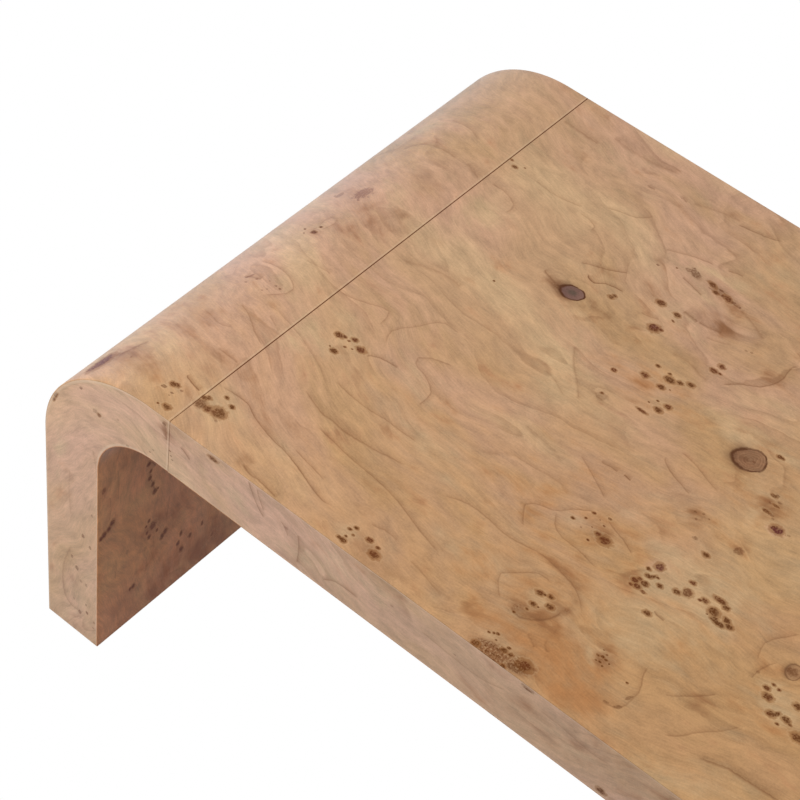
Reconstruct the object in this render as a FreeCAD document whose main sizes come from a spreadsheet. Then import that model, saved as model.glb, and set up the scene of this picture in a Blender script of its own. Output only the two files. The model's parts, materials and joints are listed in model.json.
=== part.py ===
import FreeCAD, Part
import Sketcher
import os
import re

# Waterfall coffee table in burl veneer, as the pieces it is made of, in millimetres.
# The origin is on the floor under the middle. X runs along the table, the front is at -Y and Z is up.

driving_sizes = {
    # The table as a whole
    "length": 1200,
    "depth": 600,
    "height": 415,
    "panel_thickness": 68,
    "inner_radius": 70,
    "corner_ease": 8,
    "seam_run": 15,
    "seam_gap": 0.4,
    # Sheets, boards and frames
    "veneer": 1,
    "board": 9,
    "plywood": 9,
    "long_rail_width": 50,
    "rib_thickness": 20,
    "rib_count": 3,
    "former_thickness": 18,
    "middle_former_count": 2,
    "rail_cover": 14,
    # Dowels across each seam
    "dowel_radius": 6,
    "dowel_length": 60,
    "dowel_count": 3,
    "dowel_edge": 70,
    "glue_room": 1,
    "fit_clearance": 0.1,
    # Cam locks across each seam
    "cam_spread_share": 0.55,
    "cam_edge": 20,
    "housing_radius": 17.5,
    "housing_wall": 2.5,
    "rim_radius": 20,
    "rim_thickness": 1,
    "lip_width": 2,
    "lip_thickness": 1,
    "cam_clearance": 0.3,
    "cam_floor": 12,
    "cam_roof": 2.5,
    "cam_wall": 2,
    "cam_throw": 1.2,
    "cam_turn_angle": 180,
    "slot_margin_angle": 50,
    "driver_length": 12,
    "driver_width": 2.5,
    "driver_depth": 4,
    "mark_length": 4,
    "mark_width": 1.5,
    "mark_depth": 0.8,
    "head_radius": 7,
    "bolt_radius": 4,
    "bolt_clearance": 0.5,
    "bolt_grip": 20,
    "bolt_insert_radius": 6.5,
    "bolt_insert_length": 25,
    # Levelling feet
    "leveller_margin": 22,
    "retract": 1,
    "pad_radius": 13,
    "pad_room": 2,
    "pad_floor": 2,
    "pad_bevel": 1,
    "ball_radius": 4.5,
    "ball_clearance": 0.3,
    "neck_radius": 3,
    "stop_gap": 0.3,
    "stem_radius": 4,
    "stem_length": 34,
    "stem_room": 1,
    "thread_clearance": 0.15,
    "leveller_insert_radius": 6,
    "leveller_insert_length": 22,
    "flange_radius": 9,
    "flange_thickness": 1.5,
    # How far a cut runs past the face it starts from
    "overrun": 5,
}

# Sizes and places that follow from them. Places along X and Y are distances from the middle of the table.
worked_out = {
    # Outline: the two bends, and the seam where the leg ends and the top panel starts
    "outer_radius": "inner_radius + panel_thickness - corner_ease",
    "underside": "height - panel_thickness",
    "middle_level": "height - panel_thickness / 2",
    "seam": "length / 2 - panel_thickness - inner_radius - seam_run",
    "leg_end": "seam + seam_gap / 2",
    "top_half": "seam - seam_gap / 2",
    # Layers of the panels, counted in from the veneered faces
    "core_half_depth": "depth / 2 - veneer",
    "board_cover": "veneer + board",
    "skin_cover": "veneer + plywood",
    "frame_level": "underside + board_cover",
    "frame_height": "panel_thickness - 2 * board_cover",
    "frame_half_depth": "core_half_depth - long_rail_width",
    "leg_half_depth": "core_half_depth - former_thickness",
    "end_rail_width": "cam_setback + housing_radius + rail_cover",
    "joint_rail_width": "dowel_bite + rail_cover",
    "foot_rail_height": "recess_depth + leveller_insert_length + rail_cover",
    "rib_pitch": "2 * (top_half - end_rail_width) / (rib_count + 1)",
    "former_pitch": "2 * leg_half_depth / (middle_former_count + 1)",
    # Dowels
    "dowel_spread": "depth / 2 - dowel_edge",
    "dowel_pitch": "2 * dowel_spread / (dowel_count - 1)",
    "dowel_bite": "dowel_length / 2 + glue_room",
    "dowel_hole_radius": "dowel_radius + fit_clearance",
    # Cam locks, from the underside of the top panel upwards
    "cam_spread": "dowel_spread * cam_spread_share",
    "cam_setback": "rim_radius + cam_edge",
    "cam_place": "top_half - cam_setback",
    "cam_radius": "housing_radius - housing_wall - cam_clearance",
    "cam_level": "underside + lip_thickness + cam_clearance",
    "cavity_height": "2 * (head_radius + cam_clearance)",
    "cavity_radius": "cam_radius - cam_wall - cam_throw",
    "cam_height": "cam_floor + cavity_height + cam_roof",
    "bolt_level": "cam_level + cam_floor + cavity_height / 2",
    "bolt_hole_radius": "bolt_radius + bolt_clearance",
    "housing_roof": "cam_level + cam_height + cam_clearance",
    "housing_height": "housing_roof + housing_wall - underside",
    "mouth_radius": "housing_radius - housing_wall - lip_width",
    "well_radius": "housing_radius + fit_clearance",
    # The ball of the bolt bears on the edge of the cam's slot when the cam is locked
    "head_reach": "sqrt(head_radius ^ 2 - bolt_hole_radius ^ 2)",
    "head_place": "cam_place + cavity_radius - cam_throw - cam_clearance - head_reach",
    "bolt_tip": "leg_end + bolt_grip",
    # Levelling feet, from the floor upwards
    "leveller_place": "length / 2 - panel_thickness / 2",
    "recess_radius": "pad_radius + pad_room",
    "leveller_spread": "leg_half_depth - leveller_margin - recess_radius",
    "socket_radius": "ball_radius + ball_clearance",
    "ball_level": "retract + pad_floor + socket_radius",
    "mouth_rise": "sqrt(socket_radius ^ 2 - (neck_radius + ball_clearance) ^ 2)",
    "pad_height": "pad_floor + socket_radius + mouth_rise",
    "stop_level": "retract + pad_height + stop_gap",
    "recess_depth": "stop_level + flange_thickness",
}

both_ends = (-1, 1)
half_turn = FreeCAD.Placement(FreeCAD.Vector(0, 0, 0), FreeCAD.Rotation(FreeCAD.Vector(0, 0, 1), 180))
along_x = FreeCAD.Rotation(FreeCAD.Vector(0, 1, 0), 90)
upright = FreeCAD.Rotation()

document = FreeCAD.newDocument("WaterfallCoffeeTable")
sizes = document.addObject("Spreadsheet::Sheet", "Sizes")
for row, (alias, number) in enumerate(driving_sizes.items(), start=1):
    sizes.set(f"A{row}", alias)
    sizes.set(f"B{row}", str(number))
    sizes.setAlias(f"B{row}", alias)
document.recompute()


def formula(text):
    # Turns a formula of named sizes into an expression on the cells of the sheet
    def spell_out(match):
        word = match.group()
        if word in worked_out:
            return f"({formula(worked_out[word])})"
        if word in driving_sizes:
            return f"Sizes.{word}"
        return word

    return re.sub(r"[a-z_]+", spell_out, text)


def value(text):
    return float(sizes.evalExpression(formula(text)))


def bind(item, **formulas):
    for name, text in formulas.items():
        item.setExpression(name, formula(text))


def put(feature, place, rotation=upright):
    # Places a feature by the formulas of its corner or of the middle of its starting face
    feature.Placement = FreeCAD.Placement(FreeCAD.Vector(0, 0, 0), rotation)
    for axis, text in zip("xyz", place):
        feature.setExpression(f"Placement.Base.{axis}", formula(text))


def new_piece(label, turned=False):
    piece = document.addObject("PartDesign::Body", label)
    piece.Label = label
    if turned:
        piece.Placement = half_turn
    return piece


def set_block(block, corner, span):
    length, width, height = span
    bind(block, Length=length, Width=width, Height=height)
    put(block, corner)
    return block


def set_round(bar, start, radius, length, rotation):
    bind(bar, Radius=radius, Height=length)
    put(bar, start, rotation)
    return bar


def add_block(piece, corner, span):
    return set_block(piece.newObject("PartDesign::AdditiveBox", "Block"), corner, span)


def add_round(piece, start, radius, length, rotation=upright):
    bar = piece.newObject("PartDesign::AdditiveCylinder", "Round")
    return set_round(bar, start, radius, length, rotation)


def add_ball(piece, middle, radius):
    ball = piece.newObject("PartDesign::AdditiveSphere", "Ball")
    bind(ball, Radius=radius)
    put(ball, middle)


def start_cut(piece, kind, name):
    document.recompute()
    cut = piece.newObject(f"PartDesign::Subtractive{kind}", name)
    return cut, piece.Shape.Volume


def finish_cut(piece, volume_before):
    document.recompute()
    if piece.Shape.Volume >= volume_before:
        raise RuntimeError(f"a cut in {piece.Label} removes nothing")


def cut_block(piece, corner, span):
    cut, volume = start_cut(piece, "Box", "Cut")
    set_block(cut, corner, span)
    finish_cut(piece, volume)


def cut_round(piece, start, radius, length, rotation=upright):
    cut, volume = start_cut(piece, "Cylinder", "Bore")
    set_round(cut, start, radius, length, rotation)
    finish_cut(piece, volume)
    return cut


def repeat(piece, direction, pitch, count, hole=None):
    # Repeats a hole, or else the whole piece so far, along one of the piece's own axes
    axis = next(line for line in piece.Origin.OriginFeatures if line.Role == direction)
    pattern = piece.newObject("PartDesign::LinearPattern", "Row")
    if hole:
        pattern.Originals = [hole]
    else:
        pattern.TransformMode = "Whole shape"
    pattern.Direction = (axis, [""])
    bind(pattern, Length=f"{pitch} * ({count} - 1)", Occurrences=count)
    piece.Tip = pattern


# Each side of a bent slab is the place of its upright face, the level of its flat face and its bend radius

def side_from_outside(offset):
    return f"length / 2 - ({offset})", f"height - ({offset})", f"outer_radius - ({offset})"


def side_from_inside(offset):
    return f"length / 2 - panel_thickness + ({offset})", f"underside + ({offset})", f"inner_radius + ({offset})"


def add_bent_slab(piece, outer, inner, back, width, foot="0"):
    # A slab that rises from its foot, bends over and runs to the seam, in the left leg's place
    outer_place, outer_level, outer_bend = outer
    inner_place, inner_level, inner_bend = inner
    outer_x = -value(outer_place)
    inner_x = -value(inner_place)
    end_x = -value("leg_end")
    outer_z = value(outer_level)
    inner_z = value(inner_level)
    foot_z = value(foot)
    outer_r = value(outer_bend)
    inner_r = value(inner_bend)

    def point(x, z):
        return FreeCAD.Vector(x, z, 0)

    def line(start, end):
        return Part.LineSegment(start, end)

    def bend(middle, radius):
        circle = Part.Circle(middle, FreeCAD.Vector(0, 0, 1), radius)
        return Part.ArcOfCircle(circle, FreeCAD.Units.Quantity("90 deg").getValueAs("rad"),
                                FreeCAD.Units.Quantity("180 deg").getValueAs("rad"))

    sketch = piece.newObject("Sketcher::SketchObject", "Outline")
    plane = next(face for face in piece.Origin.OriginFeatures if face.Role == "XZ_Plane")
    sketch.AttachmentSupport = [(plane, "")]
    sketch.MapMode = "FlatFace"
    bind(sketch, **{"AttachmentOffset.Base.z": f"-({back})"})
    rise, over, top, end, under, tuck, drop, base = sketch.addGeometry([
        line(point(outer_x, foot_z), point(outer_x, outer_z - outer_r)),
        bend(point(outer_x + outer_r, outer_z - outer_r), outer_r),
        line(point(outer_x + outer_r, outer_z), point(end_x, outer_z)),
        line(point(end_x, outer_z), point(end_x, inner_z)),
        line(point(end_x, inner_z), point(inner_x + inner_r, inner_z)),
        bend(point(inner_x + inner_r, inner_z - inner_r), inner_r),
        line(point(inner_x, inner_z - inner_r), point(inner_x, foot_z)),
        line(point(inner_x, foot_z), point(outer_x, foot_z)),
    ], False)
    first, last, origin = 1, 2, -1
    sketch.addConstraint([
        Sketcher.Constraint("Tangent", rise, last, over, last),
        Sketcher.Constraint("Tangent", over, first, top, first),
        Sketcher.Constraint("Coincident", top, last, end, first),
        Sketcher.Constraint("Coincident", end, last, under, first),
        Sketcher.Constraint("Tangent", under, last, tuck, first),
        Sketcher.Constraint("Tangent", tuck, last, drop, first),
        Sketcher.Constraint("Coincident", drop, last, base, first),
        Sketcher.Constraint("Coincident", base, last, rise, first),
        Sketcher.Constraint("Vertical", rise),
        Sketcher.Constraint("Horizontal", top),
        Sketcher.Constraint("Vertical", end),
        Sketcher.Constraint("Horizontal", under),
        Sketcher.Constraint("Vertical", drop),
        Sketcher.Constraint("Horizontal", base),
    ])

    def dimension(name, constraint, text):
        sketch.renameConstraint(sketch.addConstraint(constraint), name)
        sketch.setExpression(f"Constraints.{name}", formula(text))

    def across(edge, end_point, x):
        return Sketcher.Constraint("DistanceX", edge, end_point, origin, first, -x)

    def up(edge, end_point, z):
        return Sketcher.Constraint("DistanceY", origin, first, edge, end_point, z)

    dimension("outer_place", across(rise, first, outer_x), outer_place)
    dimension("inner_place", across(drop, first, inner_x), inner_place)
    dimension("end_place", across(end, first, end_x), "leg_end")
    dimension("outer_level", up(top, first, outer_z), outer_level)
    dimension("inner_level", up(under, first, inner_z), inner_level)
    dimension("outer_bend", Sketcher.Constraint("Radius", over, outer_r), outer_bend)
    dimension("inner_bend", Sketcher.Constraint("Radius", tuck, inner_r), inner_bend)
    stand = Sketcher.Constraint("DistanceY", base, last, top, first, outer_z - foot_z)
    dimension("stand", stand, f"{outer_level} - ({foot})")
    slab = piece.newObject("PartDesign::Pad", "Slab")
    slab.Profile = sketch
    bind(slab, Length=width)


def cut_cam_wells(piece):
    # Wells for the cam housings, bored up from the underside of the top panel at both ends
    for end in both_ends:
        for side in both_ends:
            place = (f"{end} * cam_place", f"{side} * cam_spread", "underside")
            cut_round(piece, place, "well_radius", "housing_height")


def make_top_panel():
    across_top = "2 * top_half"
    edge_height = "panel_thickness - 2 * veneer"
    piece = new_piece("top_veneer")
    add_block(piece, ("-top_half", "-depth / 2", "height - veneer"), (across_top, "depth", "veneer"))
    piece = new_piece("underside_veneer")
    add_block(piece, ("-top_half", "-depth / 2", "underside"), (across_top, "depth", "veneer"))
    cut_cam_wells(piece)
    for label, front in (("top_front_edge", "-depth / 2"), ("top_back_edge", "core_half_depth")):
        piece = new_piece(label)
        add_block(piece, ("-top_half", front, "underside + veneer"), (across_top, "veneer", edge_height))

    board_span = (across_top, "2 * core_half_depth", "board")
    piece = new_piece("upper_board")
    add_block(piece, ("-top_half", "-core_half_depth", "height - board_cover"), board_span)
    piece = new_piece("lower_board")
    add_block(piece, ("-top_half", "-core_half_depth", "underside + veneer"), board_span)
    cut_cam_wells(piece)

    for label, front in (("front_rail", "-core_half_depth"), ("back_rail", "frame_half_depth")):
        piece = new_piece(label)
        add_block(piece, ("-top_half", front, "frame_level"), (across_top, "long_rail_width", "frame_height"))
    piece = new_piece("cross_ribs")
    first_rib = "end_rail_width - top_half + rib_pitch - rib_thickness / 2"
    rib_span = ("rib_thickness", "2 * frame_half_depth", "frame_height")
    add_block(piece, (first_rib, "-frame_half_depth", "frame_level"), rib_span)
    repeat(piece, "X_Axis", "rib_pitch", "rib_count")


def make_end_rail(label, turned):
    # Takes the housings from below, and the bolts and dowels through its face at the seam
    piece = new_piece(label, turned)
    rail_span = ("end_rail_width", "2 * frame_half_depth", "frame_height")
    add_block(piece, ("-top_half", "-frame_half_depth", "frame_level"), rail_span)
    for side in both_ends:
        across = f"{side} * cam_spread"
        cut_round(piece, ("-cam_place", across, "underside"), "well_radius", "housing_height")
        start = ("-top_half - overrun", across, "bolt_level")
        cut_round(piece, start, "bolt_hole_radius", "cam_setback + overrun", along_x)
    start = ("-top_half - overrun", "-dowel_spread", "middle_level")
    depth = "dowel_bite - seam_gap / 2 + overrun"
    hole = cut_round(piece, start, "dowel_hole_radius", depth, along_x)
    repeat(piece, "Y_Axis", "dowel_pitch", "dowel_count", hole)


def make_leg_veneers(leg, ends, turned):
    piece = new_piece(f"{leg}_leg_outer_veneer", turned)
    add_bent_slab(piece, side_from_outside("0"), side_from_outside("veneer"), "depth / 2", "depth")
    piece = new_piece(f"{leg}_leg_inner_veneer", turned)
    add_bent_slab(piece, side_from_inside("veneer"), side_from_inside("0"), "depth / 2", "depth")
    for end, back in zip(ends, ("-core_half_depth", "depth / 2")):
        piece = new_piece(f"{leg}_leg_{end}_edge", turned)
        add_bent_slab(piece, side_from_outside("veneer"), side_from_inside("veneer"), back, "veneer")


def make_leg_skins(leg, turned):
    back, width = "core_half_depth", "2 * core_half_depth"
    piece = new_piece(f"{leg}_leg_outer_skin", turned)
    add_bent_slab(piece, side_from_outside("veneer"), side_from_outside("skin_cover"), back, width)
    piece = new_piece(f"{leg}_leg_inner_skin", turned)
    add_bent_slab(piece, side_from_inside("skin_cover"), side_from_inside("veneer"), back, width)


def make_leg_frame(leg, ends, turned):
    outer, inner = side_from_outside("skin_cover"), side_from_inside("skin_cover")
    for end, back in zip(ends, ("-leg_half_depth", "core_half_depth")):
        piece = new_piece(f"{leg}_leg_{end}_former", turned)
        add_bent_slab(piece, outer, inner, back, "former_thickness")

    # The middle formers stand on the foot rail and stop at the joint rail
    piece = new_piece(f"{leg}_leg_middle_formers", turned)
    back = "former_pitch - leg_half_depth + former_thickness / 2"
    add_bent_slab(piece, outer, inner, back, "former_thickness", "foot_rail_height")
    corner = ("-leg_end - joint_rail_width", f"{back} - former_thickness - overrun", "underside")
    reach = ("joint_rail_width + overrun", "former_thickness + 2 * overrun", "panel_thickness")
    cut_block(piece, corner, reach)
    repeat(piece, "Y_Axis", "former_pitch", "middle_former_count")


def make_joint_rail(leg, turned):
    # Follows the skins round the corner and takes the dowels and the bolt inserts
    piece = new_piece(f"{leg}_leg_joint_rail", turned)
    outer, inner = side_from_outside("skin_cover"), side_from_inside("skin_cover")
    add_bent_slab(piece, outer, inner, "leg_half_depth", "2 * leg_half_depth")
    corner = ("-length / 2", "-depth / 2", "-overrun")
    reach = ("length / 2 - leg_end - joint_rail_width", "depth", "height + 2 * overrun")
    cut_block(piece, corner, reach)
    for side in both_ends:
        start = ("-leg_end - bolt_insert_length", f"{side} * cam_spread", "bolt_level")
        cut_round(piece, start, "bolt_insert_radius + fit_clearance", "bolt_insert_length + overrun", along_x)
    start = ("-seam - dowel_bite", "-dowel_spread", "middle_level")
    hole = cut_round(piece, start, "dowel_hole_radius", "dowel_bite + overrun", along_x)
    repeat(piece, "Y_Axis", "dowel_pitch", "dowel_count", hole)


def make_foot_rail(leg, turned):
    # Sunk below for the pads, and bored for the inserts and for the stems above them
    piece = new_piece(f"{leg}_leg_foot_rail", turned)
    span = ("panel_thickness - 2 * skin_cover", "2 * leg_half_depth", "foot_rail_height")
    add_block(piece, ("skin_cover - length / 2", "-leg_half_depth", "0"), span)
    for side in both_ends:
        across = f"{side} * leveller_spread"
        cut_round(piece, ("-leveller_place", across, "-overrun"), "recess_radius", "recess_depth + overrun")
        bore = "leveller_insert_radius + fit_clearance"
        cut_round(piece, ("-leveller_place", across, "recess_depth"), bore, "leveller_insert_length")
        start = ("-leveller_place", across, "recess_depth + leveller_insert_length - overrun")
        cut_round(piece, start, "stem_radius + stem_room", "rail_cover + 2 * overrun")


def make_seam_hardware(leg, ends, turned):
    piece = new_piece(f"{leg}_dowels", turned)
    start = ("-seam - dowel_length / 2", "-dowel_spread", "middle_level")
    add_round(piece, start, "dowel_radius", "dowel_length", along_x)
    repeat(piece, "Y_Axis", "dowel_pitch", "dowel_count")

    # Housing: a cup with a rim under the panel and a lip that keeps the cam in
    piece = new_piece(f"{leg}_cam_housings", turned)
    for side in both_ends:
        across = f"{side} * cam_spread"
        add_round(piece, ("-cam_place", across, "underside"), "housing_radius", "housing_height")
        rim_start = ("-cam_place", across, "underside - rim_thickness")
        add_round(piece, rim_start, "rim_radius", "rim_thickness")
        hollow_start = ("-cam_place", across, "underside + lip_thickness")
        hollow_height = "housing_roof - underside - lip_thickness"
        cut_round(piece, hollow_start, "housing_radius - housing_wall", hollow_height)
        mouth_start = ("-cam_place", across, "underside - rim_thickness - overrun")
        cut_round(piece, mouth_start, "mouth_radius", "rim_thickness + lip_thickness + 2 * overrun")
        bolt_start = ("-cam_place - housing_radius - overrun", across, "bolt_level")
        cut_round(piece, bolt_start, "bolt_hole_radius", "housing_radius + overrun", along_x)

    for end, side in zip(ends, both_ends):
        make_cam(f"{leg}_{end}_cam", f"{side} * cam_spread", turned)

    piece = new_piece(f"{leg}_cam_bolts", turned)
    for side in both_ends:
        across = f"{side} * cam_spread"
        add_round(piece, ("-bolt_tip", across, "bolt_level"), "bolt_radius", "bolt_tip - head_place", along_x)
        add_ball(piece, ("-head_place", across, "bolt_level"), "head_radius")

    piece = new_piece(f"{leg}_bolt_inserts", turned)
    for side in both_ends:
        start = ("-leg_end - bolt_insert_length", f"{side} * cam_spread", "bolt_level")
        add_round(piece, start, "bolt_insert_radius", "bolt_insert_length", along_x)
        bore = "bolt_radius + thread_clearance"
        cut_round(piece, start, bore, "bolt_insert_length + overrun", along_x)


def make_cam(label, across, turned):
    # The cavity is off centre by the throw, so that turning the cam draws the ball of the bolt in
    piece = new_piece(label, turned)
    add_round(piece, ("-cam_place", across, "cam_level"), "cam_radius", "cam_height")
    cavity = ("cam_throw - cam_place", across, "cam_level + cam_floor")
    cut_round(piece, cavity, "cavity_radius", "cavity_height")

    # The neck of the bolt runs in a slot round the side, over the turn and a margin at each end
    slot, volume = start_cut(piece, "Cylinder", "Slot")
    bind(slot, Angle="cam_turn_angle + 2 * slot_margin_angle")
    slot_turn = FreeCAD.Rotation(FreeCAD.Vector(0, 0, 1), -value("slot_margin_angle"))
    slot_start = ("-cam_place", across, "bolt_level - bolt_hole_radius")
    set_round(slot, slot_start, "cam_radius + overrun", "2 * bolt_hole_radius", slot_turn)
    finish_cut(piece, volume)

    # A cross for the screwdriver and a mark that points at the seam when the cam is locked
    for span_x, span_y in (("driver_length", "driver_width"), ("driver_width", "driver_length")):
        corner = (f"-cam_place - {span_x} / 2", f"{across} - {span_y} / 2", "cam_level - overrun")
        cut_block(piece, corner, (span_x, span_y, "driver_depth + overrun"))
    corner = ("-cam_place - cam_radius - overrun", f"{across} - mark_width / 2", "cam_level - overrun")
    cut_block(piece, corner, ("mark_length + overrun", "mark_width", "mark_depth + overrun"))


def make_levellers(leg, ends, turned):
    piece = new_piece(f"{leg}_leveller_inserts", turned)
    for side in both_ends:
        across = f"{side} * leveller_spread"
        add_round(piece, ("-leveller_place", across, "stop_level"), "flange_radius", "flange_thickness")
        start = ("-leveller_place", across, "recess_depth")
        add_round(piece, start, "leveller_insert_radius", "leveller_insert_length")
        bore_start = ("-leveller_place", across, "stop_level - overrun")
        bore_length = "flange_thickness + leveller_insert_length + 2 * overrun"
        cut_round(piece, bore_start, "stem_radius + thread_clearance", bore_length)

    for end, side in zip(ends, both_ends):
        across = f"{side} * leveller_spread"
        make_stem(f"{leg}_{end}_stem", across, turned)
        make_pad(f"{leg}_{end}_pad", across, turned)


def make_stem(label, across, turned):
    piece = new_piece(label, turned)
    add_ball(piece, ("-leveller_place", across, "ball_level"), "ball_radius")
    neck_length = "stop_level - ball_level"
    add_round(piece, ("-leveller_place", across, "ball_level"), "neck_radius", neck_length)
    add_round(piece, ("-leveller_place", across, "stop_level"), "stem_radius", "stem_length")


def make_pad(label, across, turned):
    # A disc with a socket that holds the ball of the stem
    piece = new_piece(label, turned)
    disc = add_round(piece, ("-leveller_place", across, "retract"), "pad_radius", "pad_height")
    document.recompute()
    low_edge = min(range(len(disc.Shape.Edges)), key=lambda edge: disc.Shape.Edges[edge].CenterOfMass.z)
    bevel = piece.newObject("PartDesign::Chamfer", "Bevel")
    bevel.Base = (disc, [f"Edge{low_edge + 1}"])
    bind(bevel, Size="pad_bevel")
    socket, volume = start_cut(piece, "Sphere", "Socket")
    bind(socket, Radius="socket_radius")
    put(socket, ("-leveller_place", across, "ball_level"))
    finish_cut(piece, volume)


def write_pieces():
    document.recompute()
    for item in document.Objects:
        if "Invalid" in item.State or "Error" in item.State:
            raise RuntimeError(f"{item.Label} did not compute: {item.State}")
    pieces = [item for item in document.Objects if item.TypeId == "PartDesign::Body"]
    for piece in pieces:
        if piece.Shape.isNull() or not piece.Shape.isValid():
            raise RuntimeError(f"{piece.Label} has no valid shape")
    os.makedirs("parts", exist_ok=True)
    for piece in pieces:
        piece.Shape.exportStep(f"parts/{piece.Label}.step")
        print(piece.Label, len(piece.Shape.Solids), round(piece.Shape.Volume))


# The right leg is the left one turned half round, so the end at its own front faces the back of the table
make_top_panel()
for leg, ends, turned in (("left", ("front", "back"), False), ("right", ("back", "front"), True)):
    make_end_rail(f"{leg}_end_rail", turned)
    make_leg_veneers(leg, ends, turned)
    make_leg_skins(leg, turned)
    make_leg_frame(leg, ends, turned)
    make_joint_rail(leg, turned)
    make_foot_rail(leg, turned)
    make_seam_hardware(leg, ends, turned)
    make_levellers(leg, ends, turned)
write_pieces()
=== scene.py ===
import json
import math
import random

import bmesh
import bpy
import numpy as np
from mathutils import Matrix, Vector


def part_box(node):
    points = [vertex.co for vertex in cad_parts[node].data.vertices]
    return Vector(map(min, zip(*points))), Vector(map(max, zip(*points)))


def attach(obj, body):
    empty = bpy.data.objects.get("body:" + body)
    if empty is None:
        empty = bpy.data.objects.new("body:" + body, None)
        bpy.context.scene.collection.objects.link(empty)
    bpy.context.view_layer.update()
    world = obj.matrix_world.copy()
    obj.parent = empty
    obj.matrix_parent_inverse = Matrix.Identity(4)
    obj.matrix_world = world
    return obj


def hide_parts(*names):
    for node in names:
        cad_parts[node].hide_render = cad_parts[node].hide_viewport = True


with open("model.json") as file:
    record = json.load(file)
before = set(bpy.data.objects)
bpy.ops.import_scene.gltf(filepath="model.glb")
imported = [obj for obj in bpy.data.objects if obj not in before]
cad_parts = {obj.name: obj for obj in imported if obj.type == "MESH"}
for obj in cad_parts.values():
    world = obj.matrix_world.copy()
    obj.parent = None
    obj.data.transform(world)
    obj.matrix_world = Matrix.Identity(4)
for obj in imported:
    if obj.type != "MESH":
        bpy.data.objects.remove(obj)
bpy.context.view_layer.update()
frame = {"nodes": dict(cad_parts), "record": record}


# the photograph's viewpoint, in metres, degrees and the pixels of its square picture
shot = {
    "place": Vector((0.41282, -1.25718, 1.90937)),
    "azimuth": 33.407,
    "elevation": 48.193,
    "roll": 8.732,
    "lens": 103.723,
    "sensor": 36.0,
    "pixels": 800,
}


def viewAxes():
    turn, rise, roll = (math.radians(shot[key]) for key in ("azimuth", "elevation", "roll"))
    level = Vector((math.cos(turn), math.sin(turn), 0))
    forward = Vector((-math.sin(turn) * math.cos(rise), math.cos(turn) * math.cos(rise), -math.sin(rise)))
    right = level * math.cos(roll) + level.cross(forward) * math.sin(roll)
    return right, right.cross(forward), forward


def sightLine(pixel):
    right, up, forward = viewAxes()
    focal = shot["lens"] / shot["sensor"] * shot["pixels"]
    across, down = (value - shot["pixels"] / 2 for value in pixel)
    return (forward * focal + right * across - up * down).normalized()


def addCamera():
    right, up, forward = viewAxes()
    data = bpy.data.cameras.new("photographView")
    data.sensor_width = shot["sensor"]
    data.lens = shot["lens"]
    camera = bpy.data.objects.new("photographView", data)
    turn = Matrix((right, up, -forward)).transposed().to_4x4()
    camera.matrix_world = Matrix.Translation(shot["place"]) @ turn
    bpy.context.scene.collection.objects.link(camera)
    bpy.context.scene.camera = camera


addCamera()
print("camera set")


# the veneered faces, read from the frame: outside box, panel thickness and the seam's two sides
topLow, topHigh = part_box("top_veneer")
legLow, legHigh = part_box("left_leg_outer_veneer")
innerLow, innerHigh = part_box("left_leg_inner_veneer")
veneer = topHigh.z - topLow.z
undersideZ = innerHigh.z - veneer
legInsideX = innerLow.x + veneer
frontY, backY = topLow.y, topHigh.y
seamX = (abs(legHigh.x) + topHigh.x) / 2

shell = {
    "outerRadius": 0.130,   # bend on the outside of the leg
    "innerRadius": 0.070,   # bend inside the corner
    "bendSteps": 36,
    "cell": 0.008,          # a sheet is ruled into faces of this size, which carry its figure
    "arris": 0.0007,        # rounding where a sheet turns onto the front or back
    "arrisSteps": 3,
    "smoothAngle": 20,
}


def bendOf(endX, topZ, radius):
    return {"x": -endX - radius, "z": topZ - radius, "radius": radius}


outerBend = bendOf(legLow.x, topHigh.z, shell["outerRadius"])
innerBend = bendOf(legInsideX, undersideZ, shell["innerRadius"])
edgeBend = {key: (outerBend[key] + innerBend[key]) / 2 for key in outerBend}


# length along a face from the middle of the table, unrolled over the bend at either end
def alongBend(x, z, bend):
    side = math.copysign(1, x)
    overX, overZ = abs(x) - bend["x"], z - bend["z"]
    if overX <= 0:
        return x
    if overZ <= 0:
        return side * (bend["x"] + bend["radius"] * math.pi / 2 - overZ)
    return side * (bend["x"] + bend["radius"] * math.atan2(overX, overZ))


# distance out from the middle of an edge strip
def acrossBend(x, z, bend):
    overX, overZ = max(abs(x) - bend["x"], 0), max(z - bend["z"], 0)
    return math.hypot(overX, overZ) - bend["radius"]


# each kind of veneer leaf starts from its own part of the figure, so no two faces repeat
leafStart = {
    "outer": Vector((0.0, 0.0)), "inner": Vector((0.4, 3.0)),
    "front": Vector((0.0, 6.0)), "back": Vector((0.9, 9.0)),
}
leafBend = {"outer": outerBend, "inner": innerBend, "front": edgeBend, "back": edgeBend}


def leafPoint(place, leaf):
    bend = leafBend[leaf]
    across = acrossBend(place.x, place.z, bend) if bend is edgeBend else place.y
    return Vector((alongBend(place.x, place.z, bend), across)) + leafStart[leaf]


def onPlane(ray, axis, level):
    return shot["place"] + ray * ((level - shot["place"][axis]) / ray[axis])


# where a pixel of the photograph falls on a veneered face, as a point of its leaf
def pixelOnOuter(pixel):
    ray = sightLine(pixel)
    place = onPlane(ray, 2, topHigh.z)
    if place.x < -outerBend["x"]:
        startX, startZ = shot["place"].x + outerBend["x"], shot["place"].z - outerBend["z"]
        square = ray.x ** 2 + ray.z ** 2
        half = startX * ray.x + startZ * ray.z
        rest = startX ** 2 + startZ ** 2 - outerBend["radius"] ** 2
        place = shot["place"] + ray * ((-half - math.sqrt(max(half ** 2 - square * rest, 0))) / square)
    return leafPoint(place, "outer")


def pixelOnFront(pixel):
    return leafPoint(onPlane(sightLine(pixel), 1, frontY), "front")


def pixelOnInside(pixel):
    return leafPoint(onPlane(sightLine(pixel), 0, legInsideX), "inner")


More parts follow.
